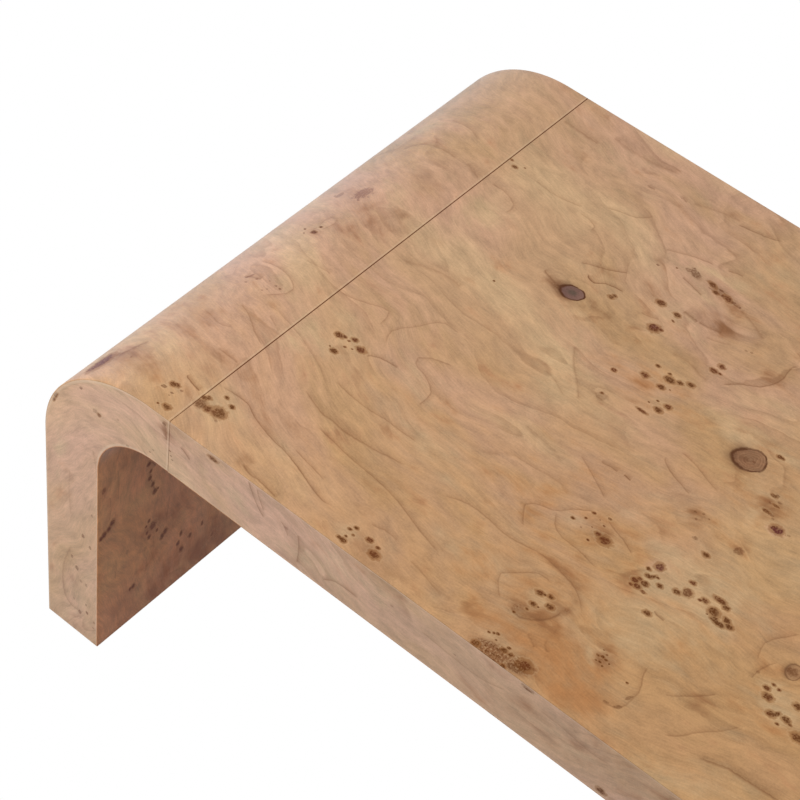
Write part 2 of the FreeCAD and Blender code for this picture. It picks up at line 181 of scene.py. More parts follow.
# eyes of the burl, read off the photograph: pixel across and down, half length in millimetres,
# and where one is unlike the rest, its strength, its width as a share of its length, and its lean in degrees
outerEyes = {
    "besideSeam": [
        (205, 398, 4.5, 0.85), (209, 398, 4, 0.85), (208, 409, 5, 0.85, 1.0), (219, 413, 8.5, 0.8, 0.85),
        (227, 398, 3.6), (232, 407, 4), (201, 404, 7.5, 0.7, 0.95), (222, 415, 3.5), (213, 412, 4, 0.5),
        (216, 421, 3, 0.4),
    ],
    "bendFront": [
        (164, 386, 4.5, 0.65), (173, 384, 5), (177, 385, 4.5), (172, 393, 3, 0.6), (182, 391, 3, 0.5),
        (167, 407, 5.5, 0.8), (158, 403, 2.2), (169, 395, 2, 0.5),
    ],
    "bendBack": [(314, 232, 4.5), (305, 229, 2.5), (321, 227, 3), (304, 233, 2), (131, 357, 2.5, 0.5)],
    "bendRim": [(102, 362, 18, 0.85, 0.55, 90), (92, 368, 9, 0.7, 0.6, 90)],
    "bendLoop": [
        (276, 286, 3, 0.6), (280, 289, 3, 0.6), (270, 281, 2.4, 0.5), (262, 290, 2.4, 0.5),
        (250, 276, 7, 0.5, 0.4, 60), (246, 282, 3, 0.5), (257, 279, 3, 0.5), (267, 289, 2.4, 0.5),
    ],
    "bendOval": [
        (364, 193, 14, 0.5, 0.75, 80), (340, 195, 8, 0.4, 0.6, 80), (358, 200, 3, 0.6),
        (352, 198, 2.4, 0.6), (372, 190, 2.4, 0.5), (368, 197, 2.6, 0.5), (335, 196, 3, 0.5),
    ],
    "seamBack": [(515, 167, 4), (525, 168, 2), (512, 160, 3)],
    "nearSeam": [
        (339, 335, 5.5), (345, 337, 3.5), (355, 340, 4.5), (361, 350, 6), (345, 347, 2.5), (334, 351, 5),
        (330, 346, 2), (349, 341, 2.5), (352, 349, 2),
    ],
    "afterKnot": [
        (611, 297, 4.5, 0.8), (615, 296, 3.5, 0.8), (661, 303, 6), (677, 315, 5),
        (673, 321, 3, 0.9, 0.5, -25), (654, 328, 7, 0.95, 0.9), (661, 330, 3.5), (677, 268, 2),
        (658, 265, 3, 0.6),
    ],
    "backRow": [
        (696, 274, 11, 0.65, 0.5, -25), (689, 270, 5, 0.5), (713, 285, 6.5, 0.8, 0.5, -20),
        (716, 293, 4.5, 0.85, 0.6), (728, 299, 6.5, 0.85, 0.6, -20), (722, 291, 4, 0.6, 0.5),
        (734, 303, 4, 0.6), (723, 296, 3, 0.7), (740, 308, 3, 0.6),
    ],
    "middle": [
        (658, 366, 3.5), (645, 375, 5.5), (670, 374, 3), (670, 380, 6.5), (680, 383, 4.5), (691, 385, 5),
        (661, 387, 5), (670, 390, 1.8), (658, 410, 5.5), (668, 407, 5), (658, 401, 2.5), (649, 402, 2),
        (642, 411, 7, 0.85, 0.3),
    ],
    "middleRight": [
        (714, 371, 5), (722, 367, 5), (720, 374, 2.8), (614, 370, 4), (746, 351, 3, 0.4),
        (752, 353, 3, 0.4),
    ],
    "pairInSwirl": [
        (605, 541, 7.5), (573, 518, 3), (586, 518, 2.5), (594, 513, 3), (598, 534, 4), (588, 540, 2.5),
        (610, 519, 3, 0.7), (604, 526, 2.5, 0.7), (592, 527, 2, 0.7), (581, 527, 2, 0.6),
        (600, 520, 2, 0.6),
    ],
    "swirl": [
        (540, 593, 5), (551, 597, 4), (550, 607, 5), (533, 604, 4.5), (545, 595, 2.5), (527, 609, 2.5),
        (514, 612, 2.5), (538, 607, 2),
    ],
    "edgePatch": [
        (476, 643, 5, 0.8, 0.7), (489, 632, 2.4, 0.9), (494, 633, 2.4, 0.9), (498, 634, 2.8, 0.9),
        (496, 640, 2.4, 0.7), (481, 648, 2.8, 0.6), (487, 651, 3, 0.55), (493, 654, 3.2, 0.6),
        (499, 650, 4, 0.55), (504, 650, 4.5, 0.85, 0.6), (509, 648, 2.8, 0.9), (511, 655, 3.2, 0.85),
        (507, 657, 2.4, 0.8), (503, 666, 3.4, 0.8), (494, 660, 3, 0.5), (499, 657, 2.8, 0.5),
        (485, 645, 2.6, 0.5), (491, 646, 2.4, 0.4),
    ],
    "edgeBlot": [
        (525, 666, 8, 0.9, 0.75), (518, 668, 9, 0.6, 0.6), (511, 666, 6, 0.65, 0.8),
        (514, 670, 6, 0.6, 0.5), (519, 662, 5, 0.5, 0.4), (534, 670, 4, 0.35, 0.5),
    ],
    "knotHearts": [(754, 462, 3, 0.5), (745, 459, 6, 0.3), (793, 672, 7.5, 0.6, 0.9)],
    "palePupil": [
        (602, 393, 2.6, 0.85), (602, 396, 8, 0.34, 0.95), (597, 397, 1.8, 0.6), (606, 397, 1.5, 0.5),
        (599, 390, 1.5, 0.5),
    ],
    "fineCluster": [
        (598, 655, 2.5), (603, 657, 3), (600, 662, 2.5), (606, 660, 2.5), (609, 664, 2), (602, 666, 2),
        (596, 660, 2), (607, 655, 2), (594, 652, 1.8), (604, 650, 1.6),
    ],
    "frontRow": [
        (649, 569, 3.5), (648, 576, 4), (653, 577, 4.5, 0.9, 0.6, 60), (658, 578, 2.8), (660, 586, 4.2),
        (635, 580, 4.5), (640, 579, 3.5), (637, 586, 5), (645, 584, 5), (631, 584, 3),
        (643, 592, 4, 0.9, 0.5), (660, 567, 5.5, 0.85, 1.0), (677, 592, 4.8), (688, 593, 6.2, 0.75, 0.95),
        (693, 583, 4.2), (647, 613, 5),
    ],
    "frontRowRight": [
        (705, 601, 5), (700, 600, 3), (721, 601, 8, 0.92, 0.42), (726, 608, 5), (714, 612, 6.5, 0.92, 0.85),
        (714, 619, 5.2), (719, 624, 7, 0.92, 0.5), (729, 627, 5.2), (727, 621, 5), (730, 618, 2.5),
        (707, 614, 2), (707, 592, 1.8, 0.6),
    ],
    "rightDots": [
        (706, 555, 4.8), (774, 496, 5, 0.75, 0.5), (778, 496, 3.4, 0.6), (776, 506, 4.6, 0.75, 0.4),
        (780, 503, 3.2, 0.5), (770, 503, 3, 0.5), (766, 511, 5, 0.75, 0.5), (771, 515, 5, 0.5, 0.4),
        (780, 457, 4), (783, 459, 3), (773, 519, 3.2, 0.4), (777, 530, 8, 0.95, 0.7),
        (739, 551, 7, 0.6, 0.9), (789, 536, 3, 0.4), (695, 512, 3, 0.5), (704, 514, 3, 0.5),
        (709, 519, 2.5, 0.5), (696, 519, 3, 0.45), (695, 538, 4, 0.5),
    ],
    "rightCluster": [
        (767, 688, 4.5), (768, 697, 6), (779, 690, 2.8), (774, 685, 3), (771, 714, 5.5),
        (777, 714, 4.5, 0.9, 0.6, 60), (786, 720, 5.2), (777, 724, 2.8), (798, 707, 5.5), (790, 725, 2.8),
        (798, 738, 7, 0.85),
    ],
    "lowLeft": [
        (350, 529, 3), (357, 528, 3.5), (339, 537, 3.5), (343, 540, 4.5), (370, 540, 4.5), (374, 555, 6.5),
        (346, 536, 2.5), (353, 535, 2.5), (378, 548, 3),
    ],
    "lone": [
        (627, 683, 2.2), (494, 281, 2.2), (618, 707, 6, 0.5, 0.45, 40), (629, 698, 5.5, 0.45, 0.4, 70),
        (606, 702, 4.5, 0.45, 0.4, 10), (758, 672, 3, 0.4),
    ],
}
frontEyes = {
    "byTopSeam": [(195, 439, 6, 0.8, 0.4), (204, 447, 5, 0.7, 0.35), (213, 459, 7, 0.8, 0.45)],
    "besideSeam": [
        (164, 424, 4, 0.6, 0.8), (170, 451, 2.5, 0.7), (171, 456, 2.5, 0.6), (172, 460, 2.5, 0.6),
    ],
    "insideBend": [
        (150, 452, 3, 0.6, 0.6), (153, 450, 3, 0.6, 0.5), (128, 446, 5, 0.6, 0.4), (118, 420, 3, 0.3),
    ],
    "legTop": [
        (56, 395, 5, 0.8, 0.5), (54, 399, 3.5, 0.8), (81, 388, 3.5, 0.6), (99, 415, 4, 0.75),
        (95, 411, 5, 0.35),
    ],
    "legMiddle": [
        (83, 536, 4.5, 0.6), (90, 548, 4, 0.6), (72, 556, 4, 0.6), (77, 568, 5, 0.6),
        (92, 516, 4, 0.5, 0.5),
    ],
    "legFoot": [
        (80, 612, 5, 0.55), (87, 613, 3.5, 0.7), (94, 623, 3.5, 0.6), (81, 581, 4, 0.4), (86, 585, 4, 0.4),
        (86, 605, 3, 0.5), (74, 598, 3, 0.4), (93, 628, 3, 0.5),
    ],
    "farAlong": [
        (528, 690, 6, 0.7, 0.3), (601, 791, 6, 0.9), (392, 606, 3, 0.4), (455, 655, 3, 0.35),
        (286, 528, 4, 0.4),
    ],
}
insideEyes = {
    "string": [
        (149, 464, 4.6), (151, 471, 3.6), (150, 478, 4.6), (153, 484, 4.6), (155, 491, 5.4),
        (158, 488, 2.8),
    ],
    "leftRow": [(112, 523, 5.8), (109, 529, 5), (104, 535, 5.6), (101, 539, 4.4), (104, 491, 6, 0.5)],
    "swirl": [
        (153, 525, 8, 0.7), (149, 521, 3.6), (147, 533, 3.6), (149, 537, 4.4), (157, 530, 3.6),
        (146, 527, 3),
    ],
    "right": [
        (202, 523, 5, 0.8, 0.5), (212, 534, 5, 0.5), (224, 511, 5, 0.5), (181, 533, 5, 0.85, 0.5),
        (190, 535, 5, 0.85, 0.5), (178, 543, 5, 0.85, 0.6), (181, 549, 6, 0.85, 0.6),
        (165, 531, 6, 0.85, 0.6), (162, 536, 6, 0.85, 0.6), (133, 586, 5, 0.85, 0.6),
        (130, 589, 4, 0.85, 0.6), (127, 552, 5, 0.3), (145, 549, 5, 0.3),
    ],
}

# grain lines, read off the photograph: half width in millimetres, strength and the pixels that they pass
outerGrain = {
    "seamLong": (0.8, 0.55, [
        (220, 385), (238, 396), (249, 405), (254, 416), (266, 432), (275, 442), (285, 451), (297, 466),
        (310, 485), (322, 500), (332, 506),
    ]),
    "secondStrand": (0.7, 0.4, [(295, 449), (305, 460), (315, 470), (324, 480)]),
    "darkBand": (1.4, 0.42, [
        (305, 389), (312, 400), (322, 413), (332, 420), (345, 432), (362, 442), (375, 450), (392, 458),
        (405, 466),
    ]),
    "longLow": (0.9, 0.42, [
        (318, 427), (330, 438), (352, 459), (377, 480), (397, 500), (412, 520), (422, 533), (432, 545),
        (440, 554),
    ]),
    "upper": (0.9, 0.38, [
        (336, 381), (345, 390), (355, 399), (371, 411), (385, 419), (405, 434), (418, 442),
    ]),
    "clusterTail": (0.9, 0.5, [(366, 355), (378, 357), (390, 363), (398, 368)]),
    "hook": (0.8, 0.45, [
        (455, 367), (445, 363), (430, 358), (418, 358), (416, 365), (424, 374), (429, 383), (431, 394),
        (424, 401), (417, 406),
    ]),
    "ridge": (0.7, 0.36, [
        (386, 344), (388, 335), (396, 329), (415, 327), (440, 322), (452, 328), (460, 334),
    ]),
    "smallLoop": (0.7, 0.4, [(340, 292), (355, 299), (370, 304), (387, 309), (388, 316), (379, 325)]),
    "lowLine": (0.8, 0.36, [(370, 525), (385, 530), (398, 541)]),
    "nearEdge": (1.0, 0.32, [(410, 560), (420, 570), (430, 582), (442, 597)]),
    "almondTail": (1.6, 0.6, [(543, 270), (549, 276), (556, 284)]),
    "pastKnot": (1.1, 0.45, [(580, 262), (592, 265), (605, 269), (615, 271), (630, 273)]),
    "backRowSlash": (0.9, 0.6, [(682, 277), (688, 282), (694, 288), (702, 296)]),
    "backRowOne": (0.8, 0.7, [(705, 280), (713, 284), (720, 290), (727, 295)]),
    "backRowTwo": (0.8, 0.65, [(707, 287), (715, 291), (722, 297), (730, 302), (741, 309)]),
    "pastKnotLow": (0.8, 0.8, [
        (590, 274), (588, 278), (592, 282), (598, 284), (603, 282), (608, 285), (614, 287), (619, 289),
        (624, 293),
    ]),
    "backStreak": (3.0, 0.3, [(614, 137), (622, 144), (634, 152), (648, 160), (660, 166), (680, 174)]),
    "backStreakLow": (2.2, 0.24, [(692, 203), (712, 209), (728, 215), (742, 222)]),
    "backDash": (0.9, 0.45, [(647, 185), (651, 188), (656, 190)]),
    "backDashTwo": (0.9, 0.5, [(680, 198), (684, 198), (687, 201)]),
    "underKnot": (2.6, 0.3, [(590, 305), (600, 311), (612, 319)]),
    "besidePale": (1.6, 0.32, [(575, 345), (574, 365), (577, 380), (579, 400)]),
    "paleLeft": (1.2, 0.28, [(545, 370), (555, 380), (563, 395)]),
    "descending": (0.9, 0.4, [(581, 455), (590, 470), (597, 483), (605, 498)]),
    "branch": (0.8, 0.4, [(600, 462), (610, 466), (618, 472)]),
    "shortSlash": (1.0, 0.7, [(623, 475), (632, 480)]),
    "rightDown": (0.9, 0.42, [(664, 457), (667, 465), (673, 475), (681, 484), (690, 495)]),
    "rightDownTwo": (0.9, 0.36, [(682, 452), (692, 461), (700, 470), (710, 483), (718, 491)]),
    "diffuse": (2.6, 0.22, [(525, 425), (540, 437), (552, 448), (562, 462)]),
    "backLine": (0.9, 0.4, [(665, 249), (680, 253), (695, 257), (715, 265)]),
    "backLineEnd": (1.1, 0.42, [(728, 271), (736, 273), (744, 277)]),
    "shortBack": (0.8, 0.36, [(640, 312), (650, 317), (660, 319)]),
    "backThin": (0.8, 0.38, [(606, 208), (615, 210), (626, 214), (638, 218), (655, 217)]),
    "backCurl": (0.7, 0.32, [(580, 213), (590, 220), (595, 228), (590, 231)]),
    "farRight": (1.2, 0.5, [(738, 224), (748, 229), (762, 235), (772, 239), (782, 241)]),
    "dartStreak": (2.4, 0.62, [(684, 311), (690, 316), (698, 322)]),
    "dartSmear": (1.8, 0.5, [(698, 322), (710, 328), (722, 333)]),
    "rightLine": (0.9, 0.5, [
        (720, 385), (740, 384), (758, 387), (771, 385), (783, 379), (790, 369), (800, 366),
    ]),
    "rightShade": (2.2, 0.3, [(740, 310), (750, 320), (758, 331), (764, 340)]),
    "midShade": (1.8, 0.28, [(672, 353), (682, 358), (692, 365), (700, 375), (708, 381)]),
    "underDart": (1.0, 0.28, [(705, 337), (718, 342), (732, 345)]),
    "bigArc": (1.0, 0.4, [
        (440, 495), (460, 500), (475, 508), (490, 520), (505, 534), (520, 543), (540, 553), (555, 566),
        (567, 578), (575, 588), (580, 600), (582, 615),
    ]),
    "swirlOneTop": (0.9, 0.42, [
        (523, 528), (523, 514), (527, 502), (540, 505), (557, 511), (570, 509), (585, 510), (597, 512),
    ]),
    "swirlOneLow": (0.8, 0.42, [
        (557, 512), (555, 525), (562, 537), (572, 545), (582, 553), (590, 562), (597, 568),
    ]),
    "swirlOneRight": (0.9, 0.48, [(608, 520), (615, 530), (622, 538), (628, 547), (632, 554)]),
    "swirlTwoTop": (0.8, 0.42, [
        (500, 600), (498, 585), (500, 573), (520, 573), (535, 572), (545, 577), (552, 583),
    ]),
    "swirlTwoLow": (1.4, 0.65, [(511, 606), (516, 615), (526, 619), (540, 620), (552, 618), (563, 612)]),
    "loopLow": (1.0, 0.42, [
        (600, 702), (612, 706), (622, 708), (632, 699), (640, 690), (643, 675), (648, 667),
    ]),
    "levelRun": (0.9, 0.4, [(664, 696), (680, 696), (700, 696), (718, 694)]),
    "levelRunLow": (0.9, 0.36, [(664, 735), (682, 736), (698, 732), (722, 731), (742, 726)]),
    "longDark": (1.7, 0.5, [
        (698, 757), (712, 763), (728, 768), (738, 775), (750, 783), (765, 792), (782, 803),
    ]),
    "tailOfLone": (0.9, 0.5, [(653, 611), (658, 616), (664, 621)]),
    "cornerArc": (1.0, 0.42, [(750, 678), (757, 672), (764, 667), (778, 662)]),
    "cornerArcBack": (1.0, 0.38, [(757, 660), (760, 650), (767, 641), (785, 637), (802, 634)]),
    "frontDark": (1.2, 0.5, [(243, 463), (247, 472), (255, 477), (263, 484), (270, 491), (277, 498)]),
    "legSlash": (0.9, 0.75, [(186, 375), (189, 379), (194, 385), (200, 391)]),
    "bendLoop": (0.9, 0.42, [
        (260, 261), (272, 264), (284, 271), (292, 281), (293, 290), (284, 294), (262, 295),
    ]),
    "bendRing": (1.0, 0.38, [(318, 227), (325, 220), (334, 217), (338, 221), (330, 226), (320, 230)]),
    "warmSwirl": (1.4, 0.4, [(527, 634), (532, 640), (534, 648)]),
    "warmSwirlTwo": (1.4, 0.35, [(547, 640), (545, 647), (548, 653)]),
    "bendSmear": (2.4, 0.42, [(244, 276), (253, 277), (262, 279)]),
    "bendRun": (0.9, 0.36, [(241, 304), (247, 311), (251, 320), (255, 332), (262, 345)]),
    "bendSide": (0.9, 0.3, [(270, 315), (274, 323), (279, 331)]),
    "bendFaint": (0.9, 0.32, [(204, 309), (212, 316), (220, 324), (232, 327)]),
    "bendTail": (0.9, 0.32, [(218, 348), (228, 355), (238, 363)]),
    "bendUpper": (1.0, 0.26, [(306, 260), (318, 266), (332, 274)]),
    "archBack": (1.6, 0.32, [(402, 150), (412, 146), (425, 144), (437, 147), (448, 152), (457, 159)]),
    "archTop": (1.2, 0.26, [(452, 120), (462, 124), (472, 130), (478, 140)]),
    "bendFold": (2.6, 0.35, [(468, 163), (472, 170), (479, 178)]),
    "darkRim": (3.2, 0.55, [(150, 341), (138, 346), (126, 352), (112, 358), (98, 366), (86, 373)]),
    "wideShade": (2.8, 0.26, [(403, 261), (420, 265), (437, 271), (450, 278), (462, 288)]),
    "seamCurl": (0.9, 0.3, [(490, 183), (503, 190), (511, 199), (514, 208), (504, 212)]),
    "farShade": (2.4, 0.38, [(563, 120), (575, 128), (588, 137), (599, 144)]),
    "thinBack": (1.0, 0.3, [(535, 180), (545, 188), (557, 196), (570, 202), (582, 207)]),
}
frontGrain = {
    "seamWedge": (3.2, 0.6, [(164, 420), (165, 428), (167, 441)]),
    "arrisStreak": (2.2, 0.55, [(521, 683), (528, 689), (535, 694)]),
    "squiggle": (1.0, 0.7, [(180, 446), (184, 451), (187, 457), (190, 460)]),
    "darkRun": (0.9, 0.55, [(248, 480), (252, 492), (257, 505), (264, 518)]),
    "darkRunTwo": (0.9, 0.5, [(256, 488), (260, 500), (264, 511)]),
    "upright": (1.0, 0.55, [(298, 535), (299, 548), (297, 563)]),
    "uprightTwo": (0.9, 0.4, [(282, 521), (285, 528), (288, 536)]),
    "lowCurve": (0.9, 0.5, [(322, 579), (334, 581), (345, 588), (358, 598)]),
    "legRing": (1.6, 0.32, [(72, 545), (65, 560), (63, 578), (66, 596), (74, 607), (82, 612)]),
    "legRun": (0.9, 0.22, [(70, 470), (69, 490), (71, 515)]),
    "legRunTwo": (0.8, 0.22, [(93, 450), (95, 462), (97, 480)]),
    "alongRun": (0.8, 0.28, [(420, 630), (450, 655), (480, 678), (505, 690)]),
    "farRun": (0.9, 0.32, [(540, 710), (565, 730), (590, 752), (610, 765)]),
}
insideGrain = {
    "slashLow": (2.0, 0.85, [(128, 591), (132, 587), (136, 583)]),
    "slashMiddle": (2.2, 0.85, [(161, 538), (164, 533), (168, 527)]),
    "slashOne": (1.5, 0.8, [(180, 537), (181, 533), (182, 530)]),
    "slashTwo": (1.6, 0.8, [(187, 538), (189, 535), (191, 532)]),
    "slashThree": (1.6, 0.85, [(176, 545), (178, 543), (180, 541)]),
    "slashFour": (1.8, 0.85, [(179, 552), (181, 549), (184, 546)]),
    "chainTop": (1.5, 0.7, [(146, 467), (149, 464), (152, 462), (156, 466)]),
    "chain": (1.4, 0.7, [(150, 470), (150, 477), (153, 484), (155, 492)]),
    "leftChain": (1.5, 0.55, [(100, 541), (104, 535), (109, 529), (113, 522)]),
    "streakOne": (0.9, 0.3, [(118, 470), (119, 485), (118, 500)]),
    "streakTwo": (0.9, 0.3, [(110, 497), (111, 510), (109, 522)]),
    "streakThree": (0.9, 0.35, [(170, 495), (168, 508), (166, 520)]),
    "streakFour": (0.9, 0.35, [(116, 560), (116, 570), (115, 580)]),
    "streakFive": (1.2, 0.3, [(168, 575), (174, 571), (182, 568)]),
}

# knots that show rings: the pixels at both ends, half width in millimetres and strength
ringedKnots = {
    "almond": ((559, 287), (586, 298), 9.6, 1.0),
    "ringed": ((732, 456), (768, 464), 14.2, 0.9),
    "cornerRing": ((786, 668), (802, 677), 8.6, 0.5),
}

# soft patches of colour: pixel across and down, half length and half width in millimetres, and strength;
# a warm one below nought is rosy
outerPatches = {
    "warm": [
        (530, 638, 36, 28, 0.55), (560, 668, 42, 32, 0.6), (588, 698, 30, 24, 0.5), (500, 628, 30, 18, 0.4),
        (102, 362, 14, 22, -0.6), (362, 194, 18, 22, -0.7), (777, 530, 10, 8, -0.95),
        (660, 567, 9, 8, -0.8), (654, 328, 8, 7, -0.6), (208, 408, 9, 8, -0.6), (545, 508, 44, 26, 0.35),
        (590, 470, 50, 22, 0.35), (645, 375, 60, 34, 0.3), (700, 515, 16, 14, 0.5),
        (770, 508, 28, 26, 0.55), (560, 690, 36, 22, 0.4), (740, 545, 26, 18, 0.35),
        (600, 660, 22, 18, 0.45), (660, 640, 34, 22, 0.3), (215, 405, 26, 16, 0.35),
        (780, 700, 46, 46, 0.35), (160, 372, 40, 24, 0.25), (170, 350, 60, 40, -0.35),
        (350, 215, 70, 40, -0.35), (400, 310, 60, 34, -0.3), (640, 430, 46, 22, -0.3),
        (720, 392, 50, 20, -0.3), (480, 110, 60, 60, -0.25), (300, 400, 40, 60, -0.2),
        (515, 588, 60, 36, 0.35), (570, 580, 50, 30, 0.25), (600, 530, 44, 24, 0.3),
    ],
    "dark": [
        (479, 644, 11, 6, 0.85), (490, 649, 16, 11, 0.9), (500, 655, 12, 11, 0.9), (516, 666, 14, 10, 0.95),
        (525, 667, 11, 8, 0.9), (697, 275, 14, 9, 0.6), (557, 286, 9, 9, 0.6), (552, 280, 11, 5, 0.5),
        (572, 294, 22, 15, 0.35), (590, 303, 10, 9, 0.3), (605, 315, 16, 7, 0.3), (618, 302, 9, 7, 0.35),
        (765, 501, 9, 9, 0.45), (773, 516, 12, 7, 0.3), (739, 550, 9, 9, 0.45), (697, 515, 12, 10, 0.4),
        (690, 493, 14, 12, 0.25), (722, 292, 26, 9, 0.5), (355, 194, 22, 14, 0.35), (312, 230, 18, 8, 0.35),
        (213, 408, 17, 10, 0.5), (245, 461, 9, 8, 0.5), (345, 532, 18, 10, 0.3), (375, 552, 14, 9, 0.35),
        (440, 600, 34, 12, 0.15), (772, 508, 12, 20, 0.25), (542, 601, 18, 13, 0.42),
        (602, 659, 13, 11, 0.72), (716, 618, 18, 12, 0.35), (640, 583, 16, 10, 0.35),
        (655, 260, 11, 9, 0.4), (740, 330, 30, 14, 0.3), (770, 375, 30, 12, 0.25), (602, 535, 14, 10, 0.6),
        (690, 316, 14, 7, 0.4), (793, 672, 12, 10, 0.4), (750, 459, 27, 20, 0.25), (200, 404, 12, 8, 0.45),
        (695, 514, 12, 8, 0.4), (470, 168, 12, 12, 0.3), (104, 358, 20, 9, 0.8), (700, 700, 44, 18, 0.25),
        (385, 210, 30, 16, 0.2), (600, 394, 13, 12, 0.4), (513, 607, 9, 9, 0.8), (538, 620, 20, 8, 0.55),
        (566, 612, 10, 9, 0.65), (562, 572, 16, 9, 0.35), (576, 592, 14, 9, 0.35), (610, 275, 26, 8, 0.35),
        (655, 291, 30, 13, 0.28), (716, 326, 36, 14, 0.32), (660, 567, 9, 9, 0.4), (688, 594, 10, 9, 0.35),
        (775, 503, 10, 14, 0.2), (140, 360, 46, 36, 0.36), (185, 325, 44, 36, 0.32),
        (420, 232, 50, 22, 0.3), (350, 220, 50, 30, 0.24), (375, 478, 34, 16, 0.24),
        (275, 425, 36, 20, 0.26), (225, 372, 36, 24, 0.28),
    ],
    "pale": [
        (485, 212, 40, 26, 0.5), (440, 440, 60, 24, 0.3), (300, 342, 34, 30, 0.4), (560, 360, 26, 40, 0.6),
        (500, 300, 50, 30, 0.15), (730, 425, 30, 16, 0.55), (620, 640, 34, 20, 0.4),
        (660, 520, 36, 22, 0.35), (470, 555, 40, 18, 0.4), (780, 275, 40, 26, 0.35),
        (700, 780, 40, 26, 0.3), (650, 770, 40, 24, 0.3), (760, 442, 34, 12, 0.5), (740, 478, 40, 10, 0.45),
        (712, 272, 34, 8, 0.55), (735, 283, 26, 8, 0.5), (585, 270, 24, 10, 0.5), (575, 312, 26, 9, 0.5),
        (705, 298, 24, 8, 0.45), (662, 312, 22, 8, 0.4), (685, 330, 24, 7, 0.4), (235, 415, 22, 12, 0.35),
        (500, 150, 30, 22, 0.2), (780, 705, 26, 30, 0.35), (690, 608, 34, 18, 0.35),
        (665, 555, 30, 14, 0.35), (755, 515, 10, 22, 0.4), (345, 318, 34, 14, 0.3), (420, 385, 40, 20, 0.3),
        (600, 430, 60, 18, 0.25), (400, 190, 30, 24, 0.3), (640, 170, 60, 30, 0.2), (655, 622, 60, 36, 0.4),
        (705, 580, 50, 22, 0.32), (430, 126, 34, 34, 0.45), (740, 600, 44, 20, 0.3),
    ],
}
frontPatches = {
    "warm": [
        # the rosy ovals on the front make it pinker and paler: partly the veneer's own tone, partly a painted
        # reflection of the bright surroundings
        (205, 470, 60, 20, -0.6), (270, 520, 40, 22, -0.6), (410, 625, 60, 20, -0.4),
        (110, 400, 60, 30, -0.5), (75, 600, 60, 20, -0.4),
    ],
    "dark": [
        (76, 586, 34, 13, 0.32), (145, 444, 14, 10, 0.3), (97, 411, 8, 6, 0.4), (165, 430, 10, 4, 0.55),
        # the oval at (75, 635) below, at the foot of the leg, is painted shade toward the floor
        (187, 454, 8, 5, 0.3), (258, 500, 16, 8, 0.3), (299, 550, 10, 5, 0.35), (75, 635, 40, 34, 0.25),
        # these two long ovals darken the far end of the front edge: painted shade where the light falls off
        (560, 735, 90, 30, 0.32), (650, 790, 80, 40, 0.25),
    ],
    "pale": [
        # the oval at (60, 450) below, a pale strip down the left border of the leg front, is a painted sheen
        (60, 450, 60, 8, 0.4), (335, 562, 46, 16, 0.45), (230, 490, 24, 12, 0.4), (390, 600, 30, 5, 0.5),
        (318, 570, 44, 16, 0.4),
    ],
}
insidePatches = {
    "warm": [(190, 545, 50, 60, 0.5), (160, 600, 40, 60, 0.3)],
    "dark": [
        # the large ovals at (205, 550), (150, 605), (225, 520) and (122, 606) darken the inner face toward
        # its right and its foot: painted shade under the table and toward the floor
        (205, 550, 50, 80, 0.45), (150, 605, 50, 60, 0.35), (175, 512, 40, 30, 0.35),
        (152, 527, 12, 14, 0.55), (108, 531, 14, 12, 0.4), (104, 490, 10, 10, 0.35),
        (130, 460, 12, 40, 0.3), (225, 520, 30, 60, 0.4), (122, 606, 44, 40, 0.26),
    ],
    "pale": [
        (145, 497, 22, 26, 0.55), (112, 570, 44, 26, 0.55), (180, 567, 12, 16, 0.45),
        (105, 505, 26, 14, 0.35), (190, 510, 18, 18, 0.35), (155, 552, 10, 14, 0.35),
        (116, 515, 34, 40, 0.35),
    ],
}


# how the marks are laid on the veneer's faces
marking = {
    "eyeLayers": ("eyeA", "eyeB", "eyeC", "eyeD"),
    "grainLayers": ("grainA", "grainB", "grainC"),
    "knotLayers": ("knot",),
    "patchKinds": ("warm", "dark", "pale"),
    "eyeSize": 0.92,          # the dark heart is smaller than the whole eye, the more so in a small one
    "eyeSkin": 0.0008,
    "eyeStrength": 0.90,
    "eyeWidth": 0.72,
    "eyeReach": 1.9,          # how far an eye's soft rim goes, in its own half lengths
    "grainReach": 7.5,        # how far a grain line's soft side goes, in its own half widths
    "grainSteps": 4,
    "haloGrow": 0.009,        # paler wood round an eye
    "haloWidth": 0.7,
    "haloStrength": 0.16,
    "knotReach": 3.5,         # the figure bends round a knot as far as this, in its own half lengths
    "patchFall": 1.2,         # how fast a patch of colour fades from its middle
    "hiddenFrom": 3,          # a face longer than this many cells is the hidden back of a sheet
}


def eyeMark(at, half, strength=marking["eyeStrength"], width=marking["eyeWidth"], lean=0.0):
    return {
        "path": [at], "long": half, "wide": half * width, "lean": math.radians(lean), "strength": strength,
        "reach": half * marking["eyeReach"],
    }


def knotMark(start, end, halfWide, strength):
    axis = (end - start) / 2
    return {
        "path": [(start + end) / 2], "long": axis.length, "wide": halfWide,
        "lean": math.atan2(axis.y, axis.x), "strength": strength, "reach": axis.length * marking["knotReach"],
    }


# a smooth line through the points
def grainMark(points, half, strength):
    path = []
    ends = [points[0], *points, points[-1]]
    for before, start, end, after in zip(ends, ends[1:], ends[2:], ends[3:]):
        for step in range(marking["grainSteps"]):
            share = step / marking["grainSteps"]
            pull = (end - before) * share
            bend = (before * 2 - start * 5 + end * 4 - after) * share ** 2
            twist = (start * 3 - before - end * 3 + after) * share ** 3
            path.append(start + (pull + bend + twist) / 2)
    path.append(points[-1])
    return {"path": path, "half": half, "strength": strength, "reach": half * marking["grainReach"]}


# a point of the leaf in the measure of an eye or a knot, 1 at its rim, with its strength
def placeInEye(mark, spot):
    away = spot - mark["path"][0]
    turn, rise = math.cos(mark["lean"]), math.sin(mark["lean"])
    along, across = away.x * turn + away.y * rise, away.y * turn - away.x * rise
    return Vector((along / mark["long"], across / mark["wide"], mark["strength"]))


